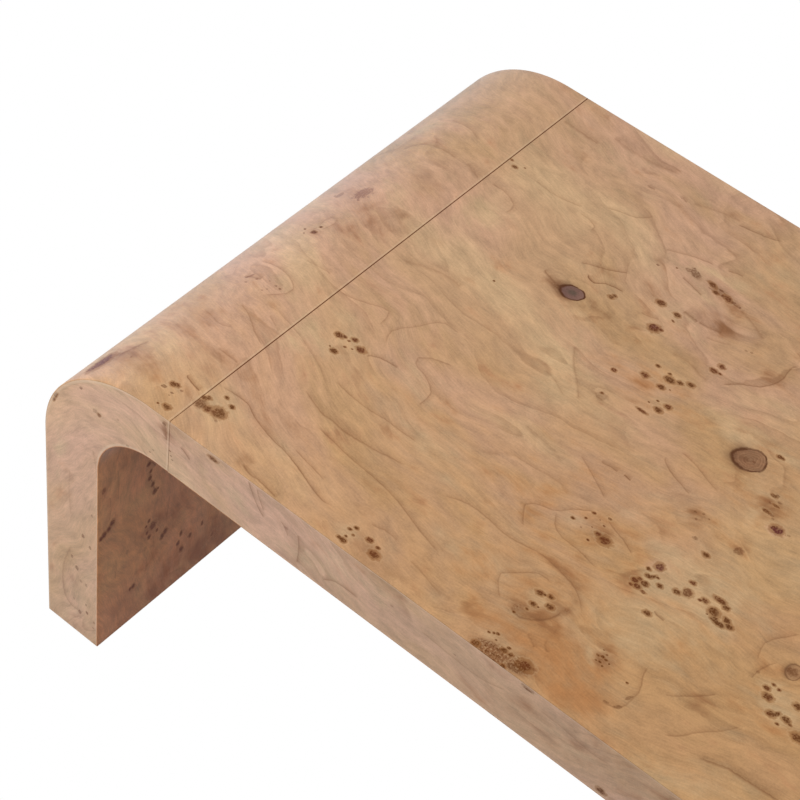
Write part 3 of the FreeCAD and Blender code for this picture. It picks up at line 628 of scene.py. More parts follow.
# a point of the leaf beside a grain line: -1 to 1 along it, its half widths to the side, and its strength
def placeByGrain(mark, spot):
    path = mark["path"]
    nearest = None
    for index, (start, end) in enumerate(zip(path, path[1:])):
        run, away = end - start, spot - start
        share = away.dot(run) / run.length_squared
        inside = min(max(share, 0), 1)
        gap = (away - run * inside).length
        if nearest is None or gap < nearest[0]:
            isEnd = (index == 0 and share < 0) or (index == len(path) - 2 and share > 1)
            nearest = gap, math.copysign(gap, run.cross(away)), index + (share if isEnd else inside)
    along = nearest[2] / (len(path) - 1) * 2 - 1
    return Vector((along, nearest[1] / mark["half"], mark["strength"]))


def cellsOver(low, high):
    first = [math.floor(value / shell["cell"]) for value in low]
    last = [math.floor(value / shell["cell"]) for value in high]
    return [(u, v) for u in range(first[0], last[0] + 1) for v in range(first[1], last[1] + 1)]


def sortIntoCells(marks):
    cells = {}
    for mark in marks:
        reach = Vector((mark["reach"], mark["reach"]))
        touched = {cell for place in mark["path"] for cell in cellsOver(place - reach, place + reach)}
        for cell in touched:
            cells.setdefault(cell, []).append(mark)
    return cells


# each face's corners take their places in the nearest marks that cross it
def layMarks(mesh, layerNames, marks, placeIn, spots):
    layers = [mesh.loops.layers.float_vector.new(name) for name in layerNames]
    cells = sortIntoCells(marks)
    for face in mesh.faces:
        corners = [spots[loop.vert.index] for loop in face.loops]
        low = Vector([min(corner[axis] for corner in corners) for axis in (0, 1)])
        high = Vector([max(corner[axis] for corner in corners) for axis in (0, 1)])
        if max(high - low) > shell["cell"] * marking["hiddenFrom"]:
            continue
        near = {id(mark): mark for cell in cellsOver(low, high) for mark in cells.get(cell, [])}
        middle = (low + high) / 2
        closest = sorted(near.values(), key=lambda mark: placeIn(mark, middle).xy.length)
        for layer, mark in zip(layers, closest):
            for loop, corner in zip(face.loops, corners):
                loop[layer] = placeIn(mark, corner)


# warm, dark and pale shares at every vertex, from soft ovals
def layTint(mesh, patches, spots):
    places = np.array([tuple(spot) for spot in spots])
    tint = np.zeros((len(places), 3))
    for column, kind in enumerate(marking["patchKinds"]):
        for at, halfLong, halfWide, strength in patches[kind]:
            away = (places - np.array(tuple(at))) / (halfLong, halfWide)
            share = np.exp(-marking["patchFall"] * (away ** 2).sum(1)) * strength
            tint[:, column] += share * (1 - np.abs(tint[:, column]))
    layer = mesh.verts.layers.float_vector.new("tint")
    for vertex, values in zip(mesh.verts, tint):
        vertex[layer] = values


# figure for faces that the photograph doesn't show: seeded clusters of eyes, with grain lines round them
wildFigure = {
    "seed": 41,
    "eyesInCluster": (4, 11),
    "eyeHalf": (0.0018, 0.0062),
    "spread": (0.010, 0.030),
    "flatness": 0.5,             # a cluster's spread across the grain, as a share of that along it
    "lineLead": 0.07,            # a line starts this far before its cluster
    "lineAside": (0.6, 1.8),     # and this far beside it, in spreads
    "linePoints": 7,
    "lineStep": 0.020,
    "lineHalf": (0.0007, 0.0014),
    "lineStrength": (0.25, 0.5),
    "slant": 0.25,               # a line's first slant, how much of it each step keeps, and the wander there
    "slantKept": 0.7,
    "wander": 0.45,
    "patchLong": 2.2,            # half sizes of a patch of colour, in spreads
    "patchWide": 1.3,
    "patchStrength": (0.3, 0.5),
}
draw = random.Random(wildFigure["seed"])


def wildPath(middle, spread, side):
    aside = side * draw.uniform(*wildFigure["lineAside"]) * spread
    point = middle + Vector((-wildFigure["lineLead"], aside))
    slant, points = draw.uniform(-wildFigure["slant"], wildFigure["slant"]), []
    for step in range(wildFigure["linePoints"]):
        points.append(point.copy())
        slant = slant * wildFigure["slantKept"] + draw.uniform(-wildFigure["wander"], wildFigure["wander"])
        point = point + Vector((math.cos(slant), math.sin(slant))) * wildFigure["lineStep"]
    return points


def addWild(figure, start, end, clusters, isUnseen):
    for number in range(clusters):
        middle = Vector((draw.uniform(start[0], end[0]), draw.uniform(start[1], end[1])))
        spread = draw.uniform(*wildFigure["spread"])
        eyes = draw.randint(*wildFigure["eyesInCluster"])
        spreads = spread, spread * wildFigure["flatness"]
        spots = [middle + Vector([draw.gauss(0, value) for value in spreads]) for eye in range(eyes)]
        halves = [draw.uniform(*wildFigure["eyeHalf"]) for eye in range(eyes)]
        for spot, half in zip(spots, halves):
            if isUnseen(spot):
                figure["eyes"].append(eyeMark(spot, half))
        for side in (-1, 1):
            points = wildPath(middle, spread, side)
            width, strength = draw.uniform(*wildFigure["lineHalf"]), draw.uniform(*wildFigure["lineStrength"])
            if isUnseen(points[0]) and isUnseen(points[-1]):
                figure["grain"].append(grainMark(points, width, strength))
        if isUnseen(middle):
            kind = draw.choice(marking["patchKinds"])
            halfLong, halfWide = spread * wildFigure["patchLong"], spread * wildFigure["patchWide"]
            strength = draw.uniform(*wildFigure["patchStrength"])
            figure["patches"][kind].append((middle, halfLong, halfWide, strength))


def figureOf(eyes, grain, knots, patches, project):
    millimetre = 0.001
    figure = {"eyes": [], "grain": [], "knots": [], "patches": {kind: [] for kind in marking["patchKinds"]}}
    for group in eyes.values():
        for across, down, half, *rest in group:
            size = (half * millimetre - marking["eyeSkin"]) * marking["eyeSize"]
            figure["eyes"].append(eyeMark(project((across, down)), size, *rest))
    for start, end, halfWide, strength in knots.values():
        figure["knots"].append(knotMark(project(start), project(end), halfWide * millimetre, strength))
    for half, strength, pixels in grain.values():
        points = [project(pixel) for pixel in pixels]
        figure["grain"].append(grainMark(points, half * millimetre, strength))
    for kind, ovals in patches.items():
        for across, down, halfLong, halfWide, strength in ovals:
            oval = project((across, down)), halfLong * millimetre, halfWide * millimetre, strength
            figure["patches"][kind].append(oval)
    return figure


def addHalos(figure):
    for eye in figure["eyes"]:
        if eye["strength"] < marking["eyeStrength"]:
            continue
        half = eye["long"] + marking["haloGrow"]
        halo = eye["path"][0], half, half * marking["haloWidth"], marking["haloStrength"]
        figure["patches"]["pale"].append(halo)


# the photograph's frame cuts the top along a slanted line, and shows the bend but not the leg below it;
# of the inside it shows all but a band at the back, and of the front edge the left part
frameCut = {
    "topAt": 0.03,
    "topSlope": 0.655,
    "bendEnd": -0.63,
    "insideBand": 0.07,
    "frontEnd": 0.08,
}


def unseenOuter(spot):
    return spot.x > frameCut["topAt"] - frameCut["topSlope"] * spot.y or spot.x < frameCut["bendEnd"]


def unseenInside(spot):
    start = leafStart["inner"]
    return spot.x > start.x or spot.y > start.y - frameCut["insideBand"]


def unseenFront(spot):
    return spot.x > frameCut["frontEnd"]


def alwaysUnseen(spot):
    return True


halfDepth = (backY - frontY) / 2
outerEnd = alongBend(-legLow.x, legLow.z, outerBend)
innerEnd = alongBend(-legInsideX, legLow.z, innerBend)
edgeHalf = (topHigh.z - undersideZ) / 2
figures = {
    "outer": figureOf(outerEyes, outerGrain, ringedKnots, outerPatches, pixelOnOuter),
    "front": figureOf(frontEyes, frontGrain, {}, frontPatches, pixelOnFront),
    "inner": figureOf(insideEyes, insideGrain, {}, insidePatches, pixelOnInside),
    "back": figureOf({}, {}, {}, {}, pixelOnFront),
}
wildAreas = {   # half length, half width, clusters and what the photograph leaves unseen
    "outer": (outerEnd, halfDepth, 46, unseenOuter),
    "front": (outerEnd, edgeHalf, 16, unseenFront),
    "inner": (innerEnd, halfDepth, 34, unseenInside),
    "back": (outerEnd, edgeHalf, 16, alwaysUnseen),
}
for leaf, (halfU, halfV, clusters, isUnseen) in wildAreas.items():
    corner = Vector((halfU, halfV))
    addWild(figures[leaf], leafStart[leaf] - corner, leafStart[leaf] + corner, clusters, isUnseen)
    addHalos(figures[leaf])
print("burl figure drawn:", {leaf: len(figure["eyes"]) for leaf, figure in figures.items()}, "eyes")


# floor, up the leg, round the bend and along to the seam
def legLine(endX, topZ, radius, mirror):
    centreX, centreZ = endX + radius, topZ - radius
    points = [(endX, legLow.z)]
    for step in range(shell["bendSteps"] + 1):
        turn = math.pi / 2 * step / shell["bendSteps"]
        points.append((centreX - radius * math.cos(turn), centreZ + radius * math.sin(turn)))
    points.append((legHigh.x, topZ))
    return [(mirror * x, z) for x, z in points]


def levelLine(z):
    return [(topLow.x, z), (topHigh.x, z)]


def between(start, end, share):
    return tuple(a + (b - a) * share for a, b in zip(start, end))


# two lines in the side view, cut alike into stretches no longer than a cell
def ruled(seen, hidden):
    pairs = [(seen[0], hidden[0])]
    for index in range(len(seen) - 1):
        steps = max(1, round(math.dist(seen[index], seen[index + 1]) / shell["cell"]))
        for step in range(1, steps + 1):
            ends = [between(line[index], line[index + 1], step / steps) for line in (seen, hidden)]
            pairs.append(tuple(ends))
    return pairs


# a sheet: its seen face from front to back, and the two hidden corners behind each row
def sheetRows(seen, hidden):
    steps = round((backY - frontY) / shell["cell"])
    depths = [frontY + (backY - frontY) * step / steps for step in range(steps + 1)]
    rows = []
    for (seenX, seenZ), (backX, backZ) in ruled(seen, hidden):
        row = [(seenX, depth, seenZ) for depth in depths]
        rows.append((row, [(backX, frontY, backZ), (backX, backY, backZ)]))
    return rows


# an edge strip: its seen face at the front or back, from the outer line to the inner one
def stripRows(outer, inner, seenY, hiddenY):
    steps = round(math.dist(outer[0], inner[0]) / shell["cell"])
    rows = []
    for outEnd, inEnd in ruled(outer, inner):
        row = []
        for step in range(steps + 1):
            x, z = between(outEnd, inEnd, step / steps)
            row.append((x, seenY, z))
        rows.append((row, [(outEnd[0], hiddenY, outEnd[1]), (inEnd[0], hiddenY, inEnd[1])]))
    return rows


# one piece of veneer from its rows; a sheet has its two long arrises rounded
def layVeneer(name, node, rows, leaf, finish, isSheet):
    mesh = bmesh.new()
    rings = []
    for row, (firstBehind, lastBehind) in rows:
        rings.append([mesh.verts.new(place) for place in (*row, lastBehind, firstBehind)])
    for first, second in zip(rings, rings[1:]):
        for corner in range(len(first)):
            mesh.faces.new((first[corner - 1], first[corner], second[corner], second[corner - 1]))
    mesh.faces.new(rings[0])
    mesh.faces.new(rings[-1][::-1])
    bmesh.ops.recalc_face_normals(mesh, faces=mesh.faces)
    if isSheet:
        arrises = []
        for first, second in zip(rings, rings[1:]):
            arrises += [mesh.edges.get((first[corner], second[corner])) for corner in (0, -3)]
        sizes = {"offset": shell["arris"], "segments": shell["arrisSteps"], "profile": 0.5}
        bmesh.ops.bevel(mesh, geom=arrises, affect="EDGES", **sizes)
    mesh.verts.index_update()
    spots = [leafPoint(vertex.co, leaf) for vertex in mesh.verts]
    grain = mesh.loops.layers.uv.new("grain")
    for face in mesh.faces:
        face.smooth = True
        for loop in face.loops:
            loop[grain].uv = spots[loop.vert.index]
    figure = figures[leaf]
    layMarks(mesh, marking["eyeLayers"], figure["eyes"], placeInEye, spots)
    layMarks(mesh, marking["grainLayers"], figure["grain"], placeByGrain, spots)
    layMarks(mesh, marking["knotLayers"], figure["knots"], placeInEye, spots)
    layTint(mesh, figure["patches"], spots)
    data = bpy.data.meshes.new(name)
    mesh.to_mesh(data)
    mesh.free()
    data.set_sharp_from_angle(angle=math.radians(shell["smoothAngle"]))
    data.materials.append(finish)
    piece = bpy.data.objects.new(name, data)
    bpy.context.scene.collection.objects.link(piece)
    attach(piece, "root")
    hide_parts(node)


# one output socket: sums and products of these add Math nodes, and any other node comes from add
class Wire:
    def __init__(self, socket):
        self.socket = socket
        self.tree = socket.id_data

    @classmethod
    def add(cls, tree, kind, settings=None, inputs=None, output=0):
        made = tree.nodes.new("ShaderNode" + kind)
        for key, value in (settings or {}).items():
            if key == "stops":
                cls.setStops(made.color_ramp, value)
            else:
                setattr(made, key, value)
        for key, value in (inputs or {}).items():
            if isinstance(value, Wire):
                tree.links.new(value.socket, made.inputs[key])
            else:
                made.inputs[key].default_value = value
        if isinstance(output, tuple):
            return [cls(made.outputs[name]) for name in output]
        return cls(made.outputs[output]) if made.outputs else None

    @staticmethod
    def setStops(ramp, stops):
        for stop in stops[2:]:
            ramp.elements.new(stop[0])
        for element, (place, level) in zip(ramp.elements, stops):
            element.position = place
            element.color = (level, level, level, 1)

    def math(self, operation, *others):
        return Wire.add(self.tree, "Math", {"operation": operation}, dict(enumerate((self, *others))))

    def reflected(self, operation, first):
        return Wire.add(self.tree, "Math", {"operation": operation}, {0: first, 1: self})

    def __add__(self, other):
        return self.math("ADD", other)

    def __sub__(self, other):
        return self.math("SUBTRACT", other)

    def __rsub__(self, other):
        return self.reflected("SUBTRACT", other)

    def __mul__(self, other):
        return self.math("MULTIPLY", other)

    def __pow__(self, other):
        return self.math("POWER", other)

    def __rpow__(self, other):
        return self.reflected("POWER", other)

    def __abs__(self):
        return self.math("ABSOLUTE")

    __radd__ = __add__
    __rmul__ = __mul__


def newFinish(name):
    material = bpy.data.materials.new(name)
    material.use_nodes = True
    material.node_tree.nodes.clear()
    return material, material.node_tree


def finishWith(tree, sockets):
    shader = Wire.add(tree, "BsdfPrincipled", inputs=sockets)
    Wire.add(tree, "OutputMaterial", inputs={"Surface": shader})


# a colour as it looks on screen, 0 to 255, turned into the linear values that a socket takes
def tone(red, green, blue):
    shares = [value / 255 for value in (red, green, blue)]
    linear = [((share + 0.055) / 1.055) ** 2.4 if share > 0.04 else share / 12.92 for share in shares]
    return (*linear, 1.0)


def mixed(tree, share, first, second, blend="MIX"):
    settings = {"data_type": "RGBA", "blend_type": blend, "clamp_factor": True}
    return Wire.add(tree, "Mix", settings, {0: share, 6: first, 7: second}, output=2)


# a soft step: 0 at the first value, 1 at the second, whichever is larger
def eased(value, start, full):
    sockets = {"Value": value, "From Min": start, "From Max": full}
    return Wire.add(value.tree, "MapRange", {"interpolation_type": "SMOOTHSTEP"}, sockets)


def vector(tree, operation, *values, output=0):
    return Wire.add(tree, "VectorMath", {"operation": operation}, dict(enumerate(values)), output=output)


# how far out a place lies in a mark's own measure, with a wobble; its third value is the mark's strength
def lengthFrom(place, wobble):
    flat = vector(place.tree, "MULTIPLY_ADD", place, (1, 1, 0), wobble)
    return vector(place.tree, "LENGTH", flat, output="Value")


def parts(place):
    return Wire.add(place.tree, "SeparateXYZ", inputs={0: place}, output=("X", "Y", "Z"))


def noise(tree, place, scale, detail=2.0, rough=0.5, flat=True, output=0):
    settings = {"noise_dimensions": "2D" if flat else "3D"}
    sockets = {"Vector": place, "Scale": scale, "Detail": detail, "Roughness": rough}
    return Wire.add(tree, "TexNoise", settings, sockets, output=output)


# noise with its own scale along and across the grain
def grainNoise(place, scales, detail=3.0, rough=0.5):
    drawn = vector(place.tree, "MULTIPLY", place, (*scales, 1.0))
    return noise(place.tree, drawn, 1.0, detail=detail, rough=rough)


# a mask that takes away no more than this depth
def partly(mask, depth):
    return mask * depth + (1 - depth)


# noises added up by weight, each about its middle
def weighed(*pairs):
    swings = [(value - 0.5) * weight for value, weight in pairs]
    return sum(swings[1:], swings[0])


def largest(wires):
    most = wires[0]
    for wire in wires[1:]:
        most = most.math("MAXIMUM", wire)
    return most


def brightened(colour, change):
    factor = Wire.add(change.tree, "CombineColor", inputs={key: change for key in (0, 1, 2)})
    return mixed(change.tree, 1.0, colour, factor, "MULTIPLY")


def attribute(tree, name):
    settings = {"attribute_name": name, "attribute_type": "GEOMETRY"}
    return Wire.add(tree, "Attribute", settings, output="Vector")


burl = {
    "sand": tone(192, 152, 114),
    "rose": tone(196, 153, 122),
    "straw": tone(204, 170, 128),
    "olive": tone(186, 147, 102),
    "amber": tone(174, 119, 72),
    "umber": tone(132, 86, 52),
    "gold": tone(184, 138, 84),
    "grainLine": tone(124, 80, 46),
    "eyeHeart": tone(92, 46, 0),
    "eyePlum": tone(98, 44, 8),
    "eyeViolet": tone(96, 40, 34),
    "eyeRim": tone(146, 98, 54),
    "knotRim": tone(86, 46, 18),
    "knotInside": tone(148, 106, 76),
    "knotRing": tone(112, 72, 48),
    "knotPlum": tone(110, 80, 76),
    "knotHeart": tone(78, 66, 56),
    "seamDark": tone(112, 54, 4),
    # pale colour of the painted arris highlight, beside the seam and along the lightened arrises
    "arrisHighlight": tone(214, 184, 146),
    "roughness": 0.44,
    "fibreRoughness": 0.12,
    "poreRoughness": 0.10,
    "bump": 0.18,
    "bumpHeight": 0.0005,
    "fibreHeight": 0.4,
    "speckHeight": 0.2,
    "shine": 0.05,
    "sheen": 0.22,
    "sheenTint": (0.62, 0.80, 1.0, 1.0),
    "sheenSpread": 0.4,
}
leafLook = {   # how one kind of leaf differs: overall tint, and the strength of its figure and its joints
    "outer": {
        "tint": (1.0, 1.0, 1.0, 1), "foldDepth": 0.34, "contrast": 1.1, "mottle": 0.55,
        "gold": 1.0, "seam": 0.9, "arris": 0.0,
    },
    # the edge tint is paler and cooler: partly the veneer's own tone, partly a painted reflection of the
    # bright surroundings
    "edge": {
        "tint": (1.15, 1.22, 1.40, 1), "foldDepth": 0.34, "contrast": 1.1, "mottle": 0.60,
        "gold": 0.0, "seam": 0.1, "arris": 0.6,
    },
    # the inner tint is warmer and darker: painted warm bounce light in the shade under the table
    "inner": {
        "tint": (1.18, 0.87, 0.68, 1), "foldDepth": 0.50, "contrast": 1.3, "mottle": 0.75,
        "gold": 0.0, "seam": 0.4, "arris": 0.0,
    },
    # the under tint is warmed toward the inner one, so it carries part of the same painted bounce light
    "under": {
        "tint": (1.05, 0.88, 0.75, 1), "foldDepth": 0.34, "contrast": 1.0, "mottle": 0.55,
        "gold": 0.0, "seam": 0.0, "arris": 0.0,
    },
}


# one of the burl's colours laid over a face
def over(ground, colour, share):
    return mixed(share.tree, share, ground, burl[colour])


# the grain's course and its noises: scales are features to the metre, along and across where there are two
course = {
    "swirl": 3.4,
    "swirlReach": 0.10,
    "swayLength": 2.17,      # the grain's slow wander along the table
    "swayStart": 0.417,
    "swayReach": 0.145,
    "shiver": 260.0,         # the unsteady hand of every drawn mark
    "shiverRough": 0.65,
    "figure": (2.0, 7.5),
    "zone": (3.0, 8.0),
    "zoneTwo": (5.0, 13.0),
    "cloud": (20.0, 55.0),
    "curl": (55.0, 120.0),
    "fibre": (70.0, 800.0),
    "broken": 26.0,
    "speck": 520.0,
    "speckRough": 0.7,
    "patchyRough": 0.6,
}


# what the layers of one veneer share: the place on its leaf, the tints laid there, and the noises of the wood
def readFace(tree, hasLeaf):
    if hasLeaf:
        flat = Wire.add(tree, "UVMap", {"uv_map": "grain"}, output="UV")
    else:
        flat = Wire.add(tree, "TexCoord", output="Object")
    along, across = parts(flat)[:2]
    swing = ((along - course["swayStart"]) * (math.tau / course["swayLength"])).math("SINE")
    sway = Wire.add(tree, "CombineXYZ", inputs={"Y": swing * -course["swayReach"]})
    swirl = noise(tree, flat, course["swirl"], detail=3.0, output="Color")
    reach = course["swirlReach"], course["swirlReach"], 0
    bent = vector(tree, "MULTIPLY_ADD", swirl, reach, vector(tree, "ADD", flat, sway))
    shiver = noise(tree, flat, course["shiver"], detail=3.0, rough=course["shiverRough"], output="Color")
    warm, dark, pale = parts(attribute(tree, "tint"))
    patchy = course["patchyRough"]
    return {
        "tree": tree, "flat": flat, "along": along, "across": across, "bent": bent,
        "shiver": vector(tree, "SUBTRACT", shiver, (0.5, 0.5, 0.5)),
        "warm": warm, "rosy": warm * -1, "dark": dark, "pale": pale,
        "zone": grainNoise(bent, course["zone"]),
        "zoneTwo": grainNoise(bent, course["zoneTwo"]),
        "cloud": grainNoise(bent, course["cloud"], rough=patchy),
        "curl": grainNoise(bent, course["curl"], detail=2.0, rough=patchy),
        "fibre": grainNoise(bent, course["fibre"], rough=patchy),
        "broken": noise(tree, flat, course["broken"], detail=3.0, rough=patchy),
        "speck": noise(tree, flat, course["speck"], rough=course["speckRough"]),
    }


# knots that show rings; pairs are where a tone starts to show and where it is full, from a rim at 1
knotLook = {
    "outline": 48.0,         # its outline strays from an oval in bulges of this scale, and is ragged
    "bulge": 0.36,
    "ragged": 0.16,
    "lift": (3.4, 0.4),      # the figure closes into loops round a knot
    "liftFrom": (0.0, 0.3),
    "liftHeight": 0.10,
    "left": (0.3, -0.9),     # its rim is wide and stained at the left
    "stain": (1.7, 0.95),
    "stainShare": 0.5,
    "wood": (1.0, 0.86),
    "woodShare": 0.9,
    "rings": 5.3,
    "ringBreak": 1.6,
    "ringShare": 0.75,
    "plumFrom": (0.92, 0.98),   # only the strongest knot is plum, with a dark heart
    "plumShare": 0.8,
    "heart": (0.62, 0.10),
    "heartShare": 0.85,
    "curlShade": 0.7,
    "speckShade": 0.5,
    "rimAt": 0.93,
    "rimHalf": 0.11,
    "rimHalfLeft": 0.13,
    "rimFull": 0.02,
    "rimLeft": 0.2,
    "rimGaps": (0.30, 0.60),
    "rimGapDepth": 0.5,
}


def addKnotPlace(face):
    tree, bulge, ragged = face["tree"], knotLook["bulge"], knotLook["ragged"]
    here = attribute(tree, "knot")
    along, across, face["knotStrength"] = parts(here)
    uneven = noise(tree, face["flat"], knotLook["outline"], detail=1.0, output="Color")
    uneven = vector(tree, "MULTIPLY_ADD", uneven, (bulge, bulge, 0), (-bulge / 2, -bulge / 2, 0))
    wobble = vector(tree, "MULTIPLY_ADD", face["shiver"], (ragged, ragged, 0), uneven)
    face["knot"] = lengthFrom(here, wobble)
    face["knotLeft"] = eased(along, *knotLook["left"])


def paintKnots(face, ground):
    knot, strength, left, curl = (face[key] for key in ("knot", "knotStrength", "knotLeft", "curl"))
    ring = (knot * knotLook["rings"] + weighed((face["broken"], knotLook["ringBreak"]))).math("FRACT")
    inside = mixed(face["tree"], ring * knotLook["ringShare"], burl["knotInside"], burl["knotRing"])
    plum = eased(strength, *knotLook["plumFrom"])
    inside = over(inside, "knotPlum", plum * knotLook["plumShare"])
    inside = over(inside, "knotHeart", plum * eased(knot, *knotLook["heart"]) * knotLook["heartShare"])
    shade = weighed((curl, knotLook["curlShade"]), (face["speck"], knotLook["speckShade"]))
    inside = brightened(inside, shade + 1)
    stain = eased(knot, *knotLook["stain"]) * left * strength
    ground = over(ground, "knotRim", stain * knotLook["stainShare"])
    share = eased(knot, *knotLook["wood"]) * strength * knotLook["woodShare"]
    ground = mixed(face["tree"], share, ground, inside)
    rimHalf = left * knotLook["rimHalfLeft"] + knotLook["rimHalf"]
    rim = eased(abs(knot - knotLook["rimAt"]), rimHalf, knotLook["rimFull"])
    gaps = eased(curl + left * knotLook["rimLeft"], *knotLook["rimGaps"])
    return over(ground, "knotRim", rim * partly(gaps, knotLook["rimGapDepth"]) * strength)


# grain lines, each sharp on one side and fading on the other
lineLook = {
    "wobble": 1.5,
    "reach": (-1.4, 6.6),    # half widths to the side, over which the tones run
    "tones": [(0.0, 0.0), (0.11, 0.6), (0.17, 1.0), (0.25, 0.5), (0.5, 0.24), (1.0, 0.0)],
    "ends": (1.02, 0.82),
    "least": 0.6,
    "broken": 1.2,
}


def paintLines(face, ground):
    tree = face["tree"]
    wobble = parts(face["shiver"])[0] * lineLook["wobble"]
    low, high = lineLook["reach"]
    lines = []
    for name in marking["grainLayers"]:
        along, across, strength = parts(attribute(tree, name))
        sockets = {"Value": across + wobble, "From Min": low, "From Max": high}
        share = Wire.add(tree, "MapRange", inputs=sockets)
        shape = Wire.add(tree, "ValToRGB", {"stops": lineLook["tones"]}, {"Fac": share})
        lines.append(shape * eased(abs(along), *lineLook["ends"]) * strength)
    depth = lineLook["least"] + face["broken"] * lineLook["broken"]
    return over(ground, "grainLine", largest(lines) * depth)


# eyes of the burl: dark speckled hearts, and the soft rims that run a little wider
eyeLook = {
    "wobble": 1.15,
    "heart": (1.02, 0.62),
    "rim": (1.90, 0.80),
    "rimFrom": (0.55, 0.85),     # only a strong eye has a rim
    "speckle": (0.34, 0.54),
    "speckleDepth": 0.55,
    "paleIn": (0.02, 0.16),      # a pale ring outside the rim
    "paleOut": (0.50, 0.22),
    "paleShare": 0.18,
    "rimTone": (0.25, 0.85),
    "rimShare": 0.60,
    "plum": (0.44, 0.62),
    "violet": (0.25, 0.60),      # in a rosy patch
}


def eyeMasks(face):
    tree = face["tree"]
    wobble = vector(tree, "MULTIPLY", face["shiver"], (eyeLook["wobble"], eyeLook["wobble"], 0))
    hearts, rims = [], []
    for name in marking["eyeLayers"]:
        local = attribute(tree, name)
        away, strength = lengthFrom(local, wobble), parts(local)[2]
        hearts.append(eased(away, *eyeLook["heart"]) * strength)
        rims.append(eased(away, *eyeLook["rim"]) * eased(strength, *eyeLook["rimFrom"]))
    speckle = partly(eased(face["speck"], *eyeLook["speckle"]), eyeLook["speckleDepth"])
    return largest(hearts) * speckle, largest(rims)


def paintEyes(face, ground):
    hearts, rims = eyeMasks(face)
    paleRing = eased(rims, *eyeLook["paleIn"]) * eased(rims, *eyeLook["paleOut"])
    ground = over(ground, "straw", paleRing * eyeLook["paleShare"])
    ground = over(ground, "eyeRim", eased(rims, *eyeLook["rimTone"]) * eyeLook["rimShare"])
    heart = mixed(face["tree"], eased(face["broken"], *eyeLook["plum"]), burl["eyeHeart"], burl["eyePlum"])
    heart = over(heart, "eyeViolet", eased(face["rosy"], *eyeLook["violet"]))
    return mixed(face["tree"], hearts, ground, heart), hearts


# the unseen underside has plain pores in place of placed eyes
poreLook = {
    "wobble": 0.006,
    "scale": 62.0,
    "size": (0.26, 0.16),
    "groupScale": 9.0,
    "groups": (0.56, 0.66),
}


def paintPores(face, ground):
    tree, wobble = face["tree"], poreLook["wobble"]
    place = vector(tree, "MULTIPLY_ADD", face["shiver"], (wobble, wobble, 0), face["flat"])
    sockets = {"Vector": place, "Scale": poreLook["scale"]}
    spot = Wire.add(tree, "TexVoronoi", {"voronoi_dimensions": "2D"}, sockets, output="Distance")
    groups = eased(noise(tree, face["flat"], poreLook["groupScale"]), *poreLook["groups"])
    pores = eased(spot, *poreLook["size"]) * groups
    return over(ground, "eyeHeart", pores), pores


# the seam between leg and top: a dark hairline with a painted arris highlight beside it, and arrises
# lightened partly as rubbed wear and partly as a painted highlight
jointLook = {
    "darkHalf": (0.0008, 0.0003),
    "lightAt": 0.0016,
    "lightHalf": (0.0010, 0.0004),
    "lightShare": 0.30,
    "front": (-0.32, -0.20),     # the seam closes toward the front
    "frontLoss": 0.65,
    "rubbedAndHighlit": (0.0030, 0.0012),  # from the arris, inward
    "rubbedAndHighlitLeast": 0.2,
    "rubbedAndHighlitBroken": 0.8,
}


def paintJoints(face, ground, look):
    # the edge strips' arrises are lightened: partly rubbed wear, partly a painted highlight on the arris
    if look["arris"]:
        fromMiddle = abs((face["across"] + 0.5).math("FRACT") - 0.5)
        rubbedAndHighlit = eased(fromMiddle, *(edgeHalf - inward for inward in jointLook["rubbedAndHighlit"]))
        rubbedAndHighlit = rubbedAndHighlit * (face["broken"] * jointLook["rubbedAndHighlitBroken"] + jointLook["rubbedAndHighlitLeast"])
        ground = over(ground, "arrisHighlight", rubbedAndHighlit * look["arris"])
    pastSeam = abs(face["along"]) - seamX
    # a pale line beside the seam: a painted highlight on the arris
    light = eased(abs(pastSeam - jointLook["lightAt"]), *jointLook["lightHalf"])
    ground = over(ground, "arrisHighlight", light * jointLook["lightShare"])
    depth = partly(eased(face["across"], *jointLook["front"]), jointLook["frontLoss"]) * look["seam"]
    return over(ground, "seamDark", eased(abs(pastSeam), *jointLook["darkHalf"]) * depth)


